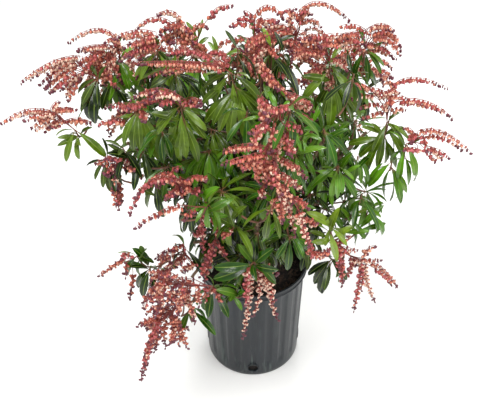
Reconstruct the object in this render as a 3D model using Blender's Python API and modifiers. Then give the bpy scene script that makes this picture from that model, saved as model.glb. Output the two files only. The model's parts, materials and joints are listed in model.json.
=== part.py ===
"""Potted Japanese andromeda: a broad evergreen shrub in bud, in a fluted black nursery can.

Metres, +Z up. The origin is the centre of the can's flat underside, and the front, as in the
photograph, faces -Y. The limbs come from one table of boughs; every mass of foliage grows from
its bough's tip by one seeded rule and keeps to its own space.
"""

import math
import random
from collections import namedtuple

import bmesh
import bpy
from mathutils import Matrix, Vector
from mathutils.bvhtree import BVHTree

UP = Vector((0, 0, 1))
CLEAR = 0.0003
CUT_CLEAR = 0.00036
WELD = 0.00005

# Can
CAN_HEIGHT = 0.305
RIM_RADIUS = 0.130
RIM_BAND = 0.020
RIM_ROLL = 0.0015
WALL_TOP_RADIUS = 0.1210
WALL_FOOT_RADIUS = 0.1150
WALL = 0.0022
FLOOR = 0.003
FOOT_CHAMFER = 0.004
FLUTES = 20
FLUTE_DEPTH = 0.0016
FLUTE_FOOT = 0.030
DRAIN_RADIUS = 0.012
DRAIN_HEIGHT = 0.030
DRAIN_BOSS = 0.016
DRAIN_BOSS_PROUD = 0.0018
DRAINS = 4
DRAIN_SIDES = 10

# Potting mix
SOIL_TOP = 0.262
SOIL_SEAT_RADIUS = 0.040
SOIL_FALL = 0.006
SOIL_SIDE_GAP = 0.0006

# Trunk: height above the mix, and radius there
TRUNK_PROFILE = ((0.0, 0.024), (0.010, 0.0185), (0.030, 0.0150), (0.070, 0.0138), (0.125, 0.0120))
TRUNK_LEAN = Vector((0.008, -0.004, 0))
TRUNK_SIDES = 10

# Limbs
BOUGH_BASE_RADIUS = 0.0068
BRANCH_BASE_RADIUS = 0.0046
LIMB_TIP_RADIUS = 0.0030
LIMB_SIDES = 5
LIMB_POINTS = 5
LIMB_RISE = 0.34
LIMB_TAPER = 0.8
SMOOTH_BELOW = math.radians(40)

# One mass of foliage
CROWN_CENTRE = Vector((0, 0, 0.50))
OUTWARD_LIFT = 0.35
OUTWARD_SAG = 0.30
STEM_BEHIND = 0.055
STEM_AHEAD = 0.030
STEM_RADIUS = 0.0034
STEM_TIP_RADIUS = 0.0024
TWIG_SIDES = 3
SHOOT_LENGTH = (0.060, 0.085)
SHOOT_SPREAD = (math.radians(49), math.radians(67))
FIRST_SHOOT = 0.25
SHOOT_SPAN = 0.55
SHOOT_LIFT = 0.22
SHOOT_RADIUS = 0.0025
SHOOT_TIP_RADIUS = 0.0020
SHOOTS = 4
GOLDEN_TURN = math.radians(137.5)
LEAF_LENGTH = (0.105, 0.130)
LEAF_WIDTH_SHARE = 0.42
LEAF_THICK_SHARE = 0.035
LEAF_WIDEST = 0.55
LEAF_DROOP = (0.38, 0.90)
LEAF_LEAN = 0.25
LEAF_ROLL = 0.4
LEAVES_PER_SHOOT = 4
LEAF_FIRST = 0.007
LEAF_STEP = 0.008
LEAF_TRIES = 9
TRY_TURN = 0.4
TRY_SHRINK = 0.45
ROOT_REACH = 0.012
RACEMES_PER_SHOOT = (0.9, 1.7)
RACEME_LENGTH = (0.105, 0.150)
RACEME_RADII = (0.0018, 0.0066, 0.0060, 0.0016)
RACEME_SPREAD = 0.7
RACEME_RISE = 0.35
RACEME_FALL = (0.67, 0.77)
RACEME_SINK = 0.003
RACEME_SHRINKS = (1.0, 0.8, 0.6)
ROOT_SHARE = 0.22
CELL_MARGIN = 0.0012
LIMB_MARGIN = 0.0016
SEAT_MARGIN = 0.0014

# Each bough: the limb that bears it (the trunk, or another bough), how far along that limb it
# starts, the compass angle, reach and height of its mass's heart, how richly that mass is in
# bud, and how much its sprays hang instead of arching out.
Bough = namedtuple("Bough", "parent station azimuth reach height bloom hang")
BOUGHS = {
    "left": Bough("trunk", 0.62, 190, 0.290, 0.705, 1.0, -0.3),
    "upper_left": Bough("left", 0.40, 166, 0.300, 0.720, 1.0, 0.0),
    "left_middle": Bough("left", 0.30, 208, 0.235, 0.635, 0.7, 0.6),
    "low_left": Bough("trunk", 0.49, 218, 0.215, 0.430, 0.9, 0.8),
    "front_left": Bough("trunk", 0.78, 231, 0.245, 0.625, 0.7, 0.7),
    "low_front_left": Bough("low_left", 0.30, 232, 0.262, 0.385, 0.9, 1.0),
    "crown_left": Bough("front_left", 0.40, 222, 0.180, 0.740, 0.2, 0.3),
    "front": Bough("trunk", 0.62, 272, 0.235, 0.600, 0.1, 0.6),
    "front_high": Bough("front", 0.42, 285, 0.205, 0.725, 1.0, 1.0),
    "inner_left": Bough("front_left", 0.28, 240, 0.120, 0.590, 0.0, 0.3),
    "inner_right": Bough("right", 0.20, 305, 0.130, 0.620, 0.0, 0.3),
    "over_rim": Bough("trunk", 0.38, 268, 0.185, 0.460, 0.6, 1.0),
    "crown_front": Bough("centre", 0.55, 245, 0.085, 0.765, 0.8, 0.5),
    "low_right": Bough("trunk", 0.52, 320, 0.215, 0.480, 0.8, 0.5),
    "right_low": Bough("low_right", 0.34, 333, 0.210, 0.575, 0.0, 0.4),
    "right": Bough("trunk", 0.74, 346, 0.240, 0.620, 0.1, 0.4),
    "right_tip": Bough("right", 0.45, 3, 0.270, 0.690, 1.0, 0.1),
    "right_high": Bough("right", 0.30, 333, 0.180, 0.735, 0.5, 0.4),
    "centre": Bough("trunk", 1.0, 50, 0.030, 0.770, 1.0, 0.4),
    "top_left": Bough("centre", 0.30, 166, 0.180, 0.770, 1.0, 0.2),
    "top_right": Bough("centre", 0.40, 16, 0.205, 0.765, 1.0, 0.2),
    "back": Bough("trunk", 0.66, 92, 0.235, 0.610, 0.3, 0.5),
    "back_high": Bough("back", 0.40, 84, 0.175, 0.715, 0.9, 0.5),
    "back_left": Bough("trunk", 0.80, 137, 0.265, 0.660, 0.8, 0.4),
    "low_back_left": Bough("back_left", 0.30, 152, 0.270, 0.530, 0.4, 0.8),
    "low_back": Bough("trunk", 0.42, 107, 0.225, 0.460, 0.5, 0.9),
    "back_right": Bough("trunk", 0.56, 40, 0.275, 0.650, 0.8, 0.4),
    "low_back_right": Bough("back_right", 0.28, 55, 0.255, 0.510, 0.5, 0.8),
}


def clear_scene():
    for thing in list(bpy.data.objects):
        bpy.data.objects.remove(thing, do_unlink=True)


def new_collection(name):
    collection = bpy.data.collections.new(name)
    bpy.context.scene.collection.children.link(collection)
    return collection


def material(name, colour, roughness):
    made = bpy.data.materials.new(name)
    made.use_nodes = True
    shader = made.node_tree.nodes["Principled BSDF"]
    shader.inputs["Base Color"].default_value = (*colour, 1)
    shader.inputs["Roughness"].default_value = roughness
    shader.inputs["Metallic"].default_value = 0
    made.diffuse_color = (*colour, 1)
    return made


def add_object(name, mesh, collection, finish=None):
    made = bpy.data.objects.new(name, mesh)
    collection.objects.link(made)
    if finish:
        mesh.materials.clear()
        mesh.materials.append(finish)
    return made


def as_mesh(thing, name):
    """The evaluated object as a plain mesh object in its own place, its doubles welded."""
    bpy.context.view_layer.update()
    evaluated = thing.evaluated_get(bpy.context.evaluated_depsgraph_get())
    mesh = bpy.data.meshes.new_from_object(evaluated)
    shape = bmesh.new()
    shape.from_mesh(mesh)
    bmesh.ops.remove_doubles(shape, verts=shape.verts, dist=WELD)
    bmesh.ops.recalc_face_normals(shape, faces=shape.faces)
    shape.to_mesh(mesh)
    shape.free()
    collection = thing.users_collection[0]
    matrix = thing.matrix_world.copy()
    bpy.data.objects.remove(thing, do_unlink=True)
    made = add_object(name, mesh, collection)
    made.matrix_world = matrix
    return made


def combine(target, operation, tools):
    """Applies one Boolean of a collection of closed meshes to the target, and removes them."""
    step = target.modifiers.new(operation.title(), "BOOLEAN")
    step.operation = operation
    step.operand_type = "COLLECTION"
    step.collection = tools
    step.solver = "MANIFOLD"
    step.material_mode = "TRANSFER"
    bpy.context.view_layer.update()
    evaluated = target.evaluated_get(bpy.context.evaluated_depsgraph_get())
    mesh = bpy.data.meshes.new_from_object(evaluated)
    target.modifiers.clear()
    target.data = mesh
    for tool in list(tools.objects):
        bpy.data.objects.remove(tool, do_unlink=True)
    bpy.data.collections.remove(tools)


def keep_body_at(thing, spot):
    """Drops the scraps that a cut left, keeping the body that has the corner nearest the spot."""
    shape = bmesh.new()
    shape.from_mesh(thing.data)
    kept = {min(shape.verts, key=lambda vertex: (vertex.co - spot).length_squared)}
    unread = list(kept)
    while unread:
        vertex = unread.pop()
        beside = {edge.other_vert(vertex) for edge in vertex.link_edges} - kept
        kept |= beside
        unread.extend(beside)
    scraps = [vertex for vertex in shape.verts if vertex not in kept]
    bmesh.ops.delete(shape, geom=scraps, context="VERTS")
    shape.to_mesh(thing.data)
    shape.free()


def section(sides, collection):
    """A closed outline of unit radius that a tube is swept with."""
    curve = bpy.data.curves.new(f"section_{sides}", "CURVE")
    curve.dimensions = "2D"
    spline = curve.splines.new("POLY")
    spline.points.add(sides - 1)
    for corner, point in enumerate(spline.points):
        angle = 2 * math.pi * corner / sides
        point.co = (math.cos(angle), math.sin(angle), 0, 1)
    spline.use_cyclic_u = True
    made = bpy.data.objects.new(curve.name, curve)
    made.hide_render = True
    made.display_type = "WIRE"
    collection.objects.link(made)
    return made


def tube(name, points, radii, outline, collection, finish):
    """A tapering limb: the outline swept along the points, with flat ends."""
    curve = bpy.data.curves.new(name, "CURVE")
    curve.dimensions = "3D"
    curve.bevel_mode = "OBJECT"
    curve.bevel_object = outline
    curve.use_fill_caps = True
    spline = curve.splines.new("POLY")
    spline.points.add(len(points) - 1)
    for point, place, radius in zip(spline.points, points, radii):
        point.co = (*place, 1)
        point.radius = radius
    made = as_mesh(add_object(name, curve, collection), name)
    made.data.materials.clear()
    made.data.materials.append(finish)
    return made


def turned(name, profile, sides, collection, finish):
    """A turned shape: an outline of (radius, height) points, from the top outside inwards."""
    mesh = bpy.data.meshes.new(name)
    edges = [(i, i + 1) for i in range(len(profile) - 1)]
    mesh.from_pydata([(radius, 0, height) for radius, height in profile], edges, [])
    made = add_object(name, mesh, collection)
    screw = made.modifiers.new("Turn", "SCREW")
    screw.steps = screw.render_steps = sides
    screw.use_merge_vertices = True
    screw.merge_threshold = WELD
    made = as_mesh(made, name)
    made.data.materials.clear()
    made.data.materials.append(finish)
    return made


def drum(name, radius, length, centre, outward, collection):
    """A cylinder lying along outward, for a drain's hole or its raised ring."""
    shape = bmesh.new()
    bmesh.ops.create_cone(
        shape, cap_ends=True, segments=DRAIN_SIDES, radius1=radius, radius2=radius, depth=length
    )
    mesh = bpy.data.meshes.new(name)
    shape.to_mesh(mesh)
    shape.free()
    made = add_object(name, mesh, collection)
    made.matrix_world = Matrix.Translation(centre) @ outward.to_track_quat("Z", "Y").to_matrix().to_4x4()
    return made


def wall_radius(height):
    """The can's outer radius below its rim band."""
    share = height / (CAN_HEIGHT - RIM_BAND)
    return WALL_FOOT_RADIUS + (WALL_TOP_RADIUS - WALL_FOOT_RADIUS) * share


def build_can(collection, finish):
    band_foot = CAN_HEIGHT - RIM_BAND
    inner_foot = WALL_FOOT_RADIUS - WALL
    profile = [
        (RIM_RADIUS, CAN_HEIGHT),
        (RIM_RADIUS - RIM_ROLL, band_foot),
        (WALL_TOP_RADIUS, band_foot - RIM_ROLL),
        (wall_radius(FLUTE_FOOT), FLUTE_FOOT),
        (WALL_FOOT_RADIUS - RIM_ROLL, FOOT_CHAMFER),
        (WALL_FOOT_RADIUS - FOOT_CHAMFER, 0),
        (0, 0),
        (0, FLOOR),
        (inner_foot, FLOOR),
        (WALL_TOP_RADIUS - WALL, band_foot - 2 * RIM_ROLL),
        (RIM_RADIUS - RIM_ROLL - WALL, band_foot + RIM_ROLL),
        (RIM_RADIUS - RIM_ROLL - WALL, CAN_HEIGHT),
        (RIM_RADIUS, CAN_HEIGHT),
    ]
    can = turned("nursery_can", profile, 2 * FLUTES, collection, finish)
    for vertex in can.data.vertices:
        radius = math.hypot(vertex.co.x, vertex.co.y)
        fluted = FLUTE_FOOT / 2 < vertex.co.z < band_foot - RIM_ROLL / 2
        if fluted and radius > wall_radius(vertex.co.z) - RIM_ROLL / 2:
            if round(math.atan2(vertex.co.y, vertex.co.x) * FLUTES / math.pi) % 2:
                vertex.co.xy *= 1 - FLUTE_DEPTH / radius
    bosses, holes = new_collection("drain_rings"), new_collection("drain_holes")
    for number in range(DRAINS):
        angle = 2 * math.pi * number / DRAINS
        outward = Vector((math.cos(angle), math.sin(angle), 0))
        middle = outward * (wall_radius(DRAIN_HEIGHT) - WALL / 2) + UP * DRAIN_HEIGHT
        deep = WALL / 2 + DRAIN_BOSS_PROUD
        drum("ring", DRAIN_BOSS, deep, middle + outward * deep / 2, outward, bosses)
        drum("hole", DRAIN_RADIUS, 6 * WALL, middle, outward, holes)
    combine(can, "UNION", bosses)
    combine(can, "DIFFERENCE", holes)
    return can


def build_mix(collection, finish):
    """The potting mix, a little domed, with a level seat under the trunk."""
    foot = FLOOR + CLEAR
    inner_foot = WALL_FOOT_RADIUS - WALL - SOIL_SIDE_GAP
    side = wall_radius(SOIL_TOP - SOIL_FALL) - WALL - 2 * SOIL_SIDE_GAP
    profile = [
        (0, SOIL_TOP),
        (SOIL_SEAT_RADIUS, SOIL_TOP),
        (side, SOIL_TOP - SOIL_FALL),
        (inner_foot, foot),
        (0, foot),
    ]
    return turned("potting_mix", profile, FLUTES, collection, finish)


def trunk_point(share):
    """A point on the trunk's centre line and its radius, at a share of its height."""
    height = share * TRUNK_PROFILE[-1][0]
    radius = TRUNK_PROFILE[-1][1]
    for (low, r_low), (high, r_high) in zip(TRUNK_PROFILE, TRUNK_PROFILE[1:]):
        if low <= height <= high:
            radius = r_low + (r_high - r_low) * (height - low) / (high - low)
            break
    lean = TRUNK_LEAN * share * share
    return lean + UP * (SOIL_TOP + CLEAR + height), radius


def heart_of(bough):
    """The middle of the bough's mass of foliage."""
    angle = math.radians(bough.azimuth)
    return Vector((bough.reach * math.cos(angle), bough.reach * math.sin(angle), bough.height))


def outward_of(bough):
    """The way the mass faces: away from the crown's centre, hanging masses a little lower."""
    away = (heart_of(bough) - CROWN_CENTRE).normalized()
    return (away + UP * (OUTWARD_LIFT - OUTWARD_SAG * bough.hang)).normalized()


def bent(start, middle, end, count):
    """Points along a smooth bend."""
    shares = [i / (count - 1) for i in range(count)]
    return [start * (1 - s) ** 2 + middle * 2 * s * (1 - s) + end * s * s for s in shares]


def limb_lines():
    """Each bough's centre line and radii, parents before the boughs that they bear."""
    lines = {}
    waiting = list(BOUGHS)
    while waiting:
        name = waiting.pop(0)
        bough = BOUGHS[name]
        if bough.parent == "trunk":
            start, _ = trunk_point(bough.station)
            base = BOUGH_BASE_RADIUS
        elif bough.parent in lines:
            points, _ = lines[bough.parent]
            place = bough.station * (len(points) - 1)
            low = int(place)
            start = points[low].lerp(points[low + 1], place - low)
            base = BRANCH_BASE_RADIUS
        else:
            waiting.append(name)
            continue
        tip = heart_of(bough) - outward_of(bough) * STEM_BEHIND
        across = tip - start
        lift = across.length * LIMB_RISE * (1 - abs(across.normalized().z))
        middle = start.lerp(tip, 0.5) + UP * lift
        points = bent(start, middle, tip, LIMB_POINTS)
        count = len(points) - 1
        shares = [(i / count) ** LIMB_TAPER for i in range(count + 1)]
        radii = [base + (LIMB_TIP_RADIUS - base) * share for share in shares]
        lines[name] = (points, radii)
    return lines


def build_limbs(collection, outlines, finish):
    """The trunk, and every bough cut 0.3 mm clear of the limb that bears it."""
    shares = [height / TRUNK_PROFILE[-1][0] for height, _ in TRUNK_PROFILE]
    spots = [trunk_point(share) for share in shares]
    trunk_line = ([place for place, _ in spots], [radius for _, radius in spots])
    trunk = tube("trunk", *trunk_line, outlines[TRUNK_SIDES], collection, finish)
    lines = limb_lines()
    lines["trunk"] = trunk_line
    limbs = {"trunk": trunk}
    for name, bough in BOUGHS.items():
        points, radii = lines[name]
        limb = tube(f"bough_{name}", points, radii, outlines[LIMB_SIDES], collection, finish)
        sides = TRUNK_SIDES if bough.parent == "trunk" else LIMB_SIDES
        points, radii = lines[bough.parent]
        past_end = points[-1] + (points[-1] - points[-2]).normalized() * CLEAR
        cutters = new_collection("cutters")
        wide = [radius + CUT_CLEAR for radius in radii]
        tube("cutter", [*points[:-1], past_end], wide, outlines[sides], cutters, finish)
        combine(limb, "DIFFERENCE", cutters)
        keep_body_at(limb, lines[name][0][-1])
        limbs[name] = limb
    return limbs, lines


def shape_of(thing, root=None):
    """A mesh object's surface as a tree for touch tests, leaving out what is near its root."""
    shape = bmesh.new()
    shape.from_mesh(thing.data)
    shape.transform(thing.matrix_world)
    if root is not None:
        middle = sum((vertex.co for vertex in shape.verts), Vector()) / len(shape.verts)
        for vertex in shape.verts:
            if (vertex.co - root).length < ROOT_REACH:
                vertex.co = root.lerp(middle, ROOT_SHARE / LEAF_WIDEST)
    tree = BVHTree.FromBMesh(shape)
    shape.free()
    return tree


def walls_of(name):
    """The flat bounds between this mass's space and every other mass's, as (point, normal)."""
    heart = heart_of(BOUGHS[name])
    others = [heart_of(other) for key, other in BOUGHS.items() if key != name]
    return [((heart + other) / 2, (other - heart).normalized()) for other in others]


def keeps_inside(thing, walls):
    corners = [thing.matrix_world @ vertex.co for vertex in thing.data.vertices]
    if min(corner.z for corner in corners) < CAN_HEIGHT + LIMB_MARGIN:
        low = [corner for corner in corners if corner.z < CAN_HEIGHT + 3 * LIMB_MARGIN]
        if min(math.hypot(corner.x, corner.y) for corner in low) < RIM_RADIUS + 3 * LIMB_MARGIN:
            return False
    return all((corner - spot).dot(way) < -CELL_MARGIN for spot, way in walls for corner in corners)


def leaf(name, root, way, roll, length, collection, finish):
    """A six-faced blade: two three-sided points, base to base at its widest, ridged above."""
    shape = bmesh.new()
    bmesh.ops.create_uvsphere(shape, u_segments=3, v_segments=2, radius=1)
    width, thick = length * LEAF_WIDTH_SHARE / 2, length * LEAF_THICK_SHARE
    for vertex in shape.verts:
        ridge, across, along = vertex.co
        if abs(along) > 0.5:
            vertex.co = (0, 0, length if along > 0 else 0)
        elif ridge > 0.5:
            vertex.co = (0, thick, length * LEAF_WIDEST)
        else:
            vertex.co = (math.copysign(width, across), 0, length * LEAF_WIDEST)
    bmesh.ops.recalc_face_normals(shape, faces=shape.faces)
    mesh = bpy.data.meshes.new(name)
    shape.to_mesh(mesh)
    shape.free()
    made = add_object(name, mesh, collection, finish)
    facing = way.to_track_quat("Z", "Y").to_matrix().to_4x4()
    made.matrix_world = Matrix.Translation(root) @ facing @ Matrix.Rotation(roll, 4, "Z")
    return made


def shoots_of(name):
    """The mass's stem and then its shoots, each as (foot, tip, way), by a seeded rule."""
    bough = BOUGHS[name]
    chance = random.Random(name)
    heart, outward = heart_of(bough), outward_of(bough)
    start = heart - outward * STEM_BEHIND
    end = heart + outward * STEM_AHEAD
    side = outward.orthogonal().normalized()
    first_turn = chance.uniform(0, 2 * math.pi)
    shoots = [(start, end, outward)]
    for number in range(1, SHOOTS):
        foot = start.lerp(end, FIRST_SHOOT + SHOOT_SPAN * number / SHOOTS)
        turn = Matrix.Rotation(first_turn + number * GOLDEN_TURN, 3, outward)
        spread = chance.uniform(*SHOOT_SPREAD)
        way = outward * math.cos(spread) + (turn @ side) * math.sin(spread)
        length = chance.uniform(*SHOOT_LENGTH)
        way = (way + UP * SHOOT_LIFT).normalized()
        shoots.append((foot, foot + way * length, way))
    return shoots


def raceme_line(root, way, length, fall, count):
    """Points along a spray that sets out along way and bends over under its own weight."""
    points, heading, step = [root], way.normalized(), length / (count - 1)
    for number in range(1, count):
        heading = (heading - UP * fall * number / (count - 1)).normalized()
        points.append(points[-1] + heading * step)
    return points


def grow_mass(name, bough_line, collection, outlines, finishes, obstacles):
    """One mass of foliage: stem, shoots, leaves and bud sprays, fused into one solid."""
    bough = BOUGHS[name]
    chance = random.Random(f"leaves of {name}")
    walls = walls_of(name)
    outline, green = outlines[TWIG_SIDES], finishes["leaf"]
    shoots = shoots_of(name)
    start, end, outward = shoots[0]
    stem_line = (start - outward * LIMB_TIP_RADIUS, end)
    stem = tube(f"foliage_{name}", stem_line, (STEM_RADIUS, STEM_TIP_RADIUS), outline, collection, green)
    parts = new_collection(f"parts_{name}")
    placed = []

    def fits(thing, root=None):
        """Keeps a piece that stays in its space, off every limb and off the pieces before it."""
        if keeps_inside(thing, walls):
            whole = shape_of(thing)
            if not any(whole.overlap(obstacle) for obstacle in obstacles):
                if root is None:
                    return True
                free_part = shape_of(thing, root)
                if not any(free_part.overlap(other) for other in placed):
                    placed.append(free_part)
                    return True
        bpy.data.objects.remove(thing, do_unlink=True)
        return False

    for foot, tip, way in shoots:
        radii = (SHOOT_RADIUS, SHOOT_TIP_RADIUS)
        if tip != end and not fits(tube("twig", (foot, tip), radii, outline, parts, green)):
            continue
        sunk = tip - way * RACEME_SINK
        ring = way.orthogonal().normalized()
        turn = chance.uniform(0, 2 * math.pi)
        sprays = round(bough.bloom * chance.uniform(*RACEMES_PER_SHOOT))
        for spray in range(sprays):
            around = Matrix.Rotation(turn + spray * GOLDEN_TURN, 3, way) @ ring
            aim = (way + outward) / 2 + around * RACEME_SPREAD - UP * bough.hang / 2
            aim.z = min(aim.z, aim.length * RACEME_RISE)
            length = chance.uniform(*RACEME_LENGTH)
            fall = RACEME_FALL[0] + RACEME_FALL[1] * bough.hang
            for shrink in RACEME_SHRINKS:
                line = raceme_line(sunk, aim, length * shrink, fall, len(RACEME_RADII))
                if fits(tube("spray", line, RACEME_RADII, outline, parts, finishes["bud"]), sunk):
                    break
        blades = LEAVES_PER_SHOOT if sprays else LEAVES_PER_SHOOT + 1
        for blade in range(blades):
            length = chance.uniform(*LEAF_LENGTH)
            root = tip - way * (LEAF_FIRST + LEAF_STEP * blade)
            for attempt in range(LEAF_TRIES):
                angle = turn + (blade + TRY_TURN * attempt) * GOLDEN_TURN
                around = Matrix.Rotation(angle, 3, way) @ ring
                droop = chance.uniform(*LEAF_DROOP)
                aim = (around + way * LEAF_LEAN - UP * droop).normalized()
                roll = chance.uniform(-LEAF_ROLL, LEAF_ROLL)
                size = length * (1 - TRY_SHRINK * attempt / LEAF_TRIES)
                if fits(leaf("blade", root, aim, roll, size, parts, green), root):
                    break
    combine(stem, "UNION", parts)
    points, limb_radii = bough_line
    seat = points[-1] + (points[-1] - points[-2]).normalized() * CLEAR
    cutters = new_collection("cutters")
    wide = [radius + SEAT_MARGIN for radius in limb_radii]
    tube("cutter", [*points[:-1], seat], wide, outlines[LIMB_SIDES], cutters, finishes["leaf"])
    combine(stem, "DIFFERENCE", cutters)
    keep_body_at(stem, end)


def main():
    clear_scene()
    plant = new_collection("potted_japanese_andromeda")
    guides = new_collection("guides")
    finishes = {
        "can": material("black_plastic", (0.045, 0.052, 0.058), 0.45),
        "mix": material("potting_mix", (0.030, 0.022, 0.016), 0.95),
        "bark": material("bark", (0.20, 0.12, 0.085), 0.85),
        "leaf": material("leaf_green", (0.075, 0.20, 0.035), 0.35),
        "bud": material("bud_rose", (0.55, 0.13, 0.11), 0.5),
    }
    outlines = {sides: section(sides, guides) for sides in (TWIG_SIDES, LIMB_SIDES, TRUNK_SIDES)}
    can = build_can(plant, finishes["can"])
    mix = build_mix(plant, finishes["mix"])
    limbs, lines = build_limbs(plant, outlines, finishes["bark"])
    scratch = new_collection("clearance")
    obstacles = [shape_of(can), shape_of(mix)]
    for name, (points, radii) in lines.items():
        wide = [radius + LIMB_MARGIN for radius in radii]
        sides = TRUNK_SIDES if name == "trunk" else LIMB_SIDES
        obstacles.append(shape_of(tube("clearance", points, wide, outlines[sides], scratch, finishes["bark"])))
    for thing in list(scratch.objects):
        bpy.data.objects.remove(thing, do_unlink=True)
    bpy.data.collections.remove(scratch)
    for name in BOUGHS:
        grow_mass(name, lines[name], plant, outlines, finishes, obstacles)
    for limb in limbs.values():
        limb.data.shade_smooth()
        limb.data.set_sharp_from_angle(angle=SMOOTH_BELOW)


main()
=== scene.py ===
"""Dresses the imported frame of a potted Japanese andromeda: its bark, twigs, leaves and bud sprays, the nursery
can and the potting mix. Every length is in metres, with +Z up and the front of the plant at -Y."""

import json
import math
import random
from collections import namedtuple

import bmesh
import bpy
from bpy.props import FloatProperty, FloatVectorProperty, IntProperty, PointerProperty
from mathutils import Matrix, Vector, noise

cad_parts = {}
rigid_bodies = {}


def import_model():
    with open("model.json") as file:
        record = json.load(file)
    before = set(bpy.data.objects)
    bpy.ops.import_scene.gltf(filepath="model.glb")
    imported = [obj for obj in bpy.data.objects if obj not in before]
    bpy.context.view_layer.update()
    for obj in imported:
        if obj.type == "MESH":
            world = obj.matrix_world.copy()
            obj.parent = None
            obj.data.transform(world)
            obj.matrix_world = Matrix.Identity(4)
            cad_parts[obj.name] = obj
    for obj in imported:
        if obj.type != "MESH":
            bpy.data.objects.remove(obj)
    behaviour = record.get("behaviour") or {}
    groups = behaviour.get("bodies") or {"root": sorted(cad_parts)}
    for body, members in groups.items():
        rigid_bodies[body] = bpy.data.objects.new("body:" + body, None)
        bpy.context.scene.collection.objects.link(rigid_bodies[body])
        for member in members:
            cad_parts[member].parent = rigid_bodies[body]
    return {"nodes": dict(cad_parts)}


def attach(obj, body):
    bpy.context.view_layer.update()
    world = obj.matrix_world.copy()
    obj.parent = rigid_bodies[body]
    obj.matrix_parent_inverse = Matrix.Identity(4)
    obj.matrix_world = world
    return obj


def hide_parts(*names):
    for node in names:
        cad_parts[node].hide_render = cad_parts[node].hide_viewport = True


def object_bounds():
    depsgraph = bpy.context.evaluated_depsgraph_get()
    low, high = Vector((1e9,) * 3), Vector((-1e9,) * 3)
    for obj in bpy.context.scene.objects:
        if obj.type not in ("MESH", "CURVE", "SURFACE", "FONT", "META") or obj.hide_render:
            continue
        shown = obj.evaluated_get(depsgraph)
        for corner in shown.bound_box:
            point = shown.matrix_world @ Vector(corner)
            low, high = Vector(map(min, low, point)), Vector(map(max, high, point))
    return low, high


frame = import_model()
CAD_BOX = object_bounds()

bl_info = {
    "name": "Potted Japanese andromeda",
    "version": (1, 0, 0),
    "blender": (4, 5, 0),
    "location": "3D View > Sidebar > Andromeda",
    "description": "Grows a potted evergreen shrub in bud over its packed frame",
    "category": "Object",
}

UP = Vector((0.0, 0.0, 1.0))
FOLIAGE_NODES = sorted(name for name in frame["nodes"] if name.startswith("foliage_"))
WOOD_NODES = sorted(name for name in frame["nodes"] if name.startswith("bough_")) + ["trunk"]

# The can and the mix, as in the frame.
CAN_HEIGHT = 0.305
RIM_RADIUS = 0.130
RIM_BAND = 0.020
WALL_TOP_RADIUS = 0.1210
WALL_FOOT_RADIUS = 0.1150
WALL = 0.0022
FLOOR = 0.003
FOOT_CHAMFER = 0.004
FLUTE_FOOT = 0.030
DRAIN_RADIUS = 0.012
DRAIN_HEIGHT = 0.030
DRAIN_BOSS = 0.014
DRAINS = 4
SOIL_TOP = 0.262
SOIL_FALL = 0.006
SOIL_GAP = 0.0006
CLEAR = 0.0003

# The limbs: the same rule and values as the solids.
TRUNK_PROFILE = ((0.0, 0.024), (0.010, 0.0185), (0.030, 0.0150), (0.070, 0.0138), (0.125, 0.0120))
TRUNK_LEAN = Vector((0.008, -0.004, 0.0))
BOUGH_BASE_RADIUS = 0.0068
BRANCH_BASE_RADIUS = 0.0046
LIMB_TIP_RADIUS = 0.0030
LIMB_RISE = 0.34
LIMB_TAPER = 0.8
LIMB_POINTS = 22
CROWN_CENTRE = Vector((0.0, 0.0, 0.50))
OUTWARD_LIFT = 0.35
OUTWARD_SAG = 0.30
STEM_BEHIND = 0.055
STEM_AHEAD = 0.030
SHOOTS = 4
SHOOT_LENGTH = (0.060, 0.085)
SHOOT_SPREAD = (math.radians(49), math.radians(67))
FIRST_SHOOT = 0.25
SHOOT_SPAN = 0.55
SHOOT_LIFT = 0.22
GOLDEN_TURN = math.radians(137.5)
RACEME_SPREAD = 0.7
RACEME_RISE = 0.35
RACEME_FALL = (0.67, 0.77)

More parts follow.
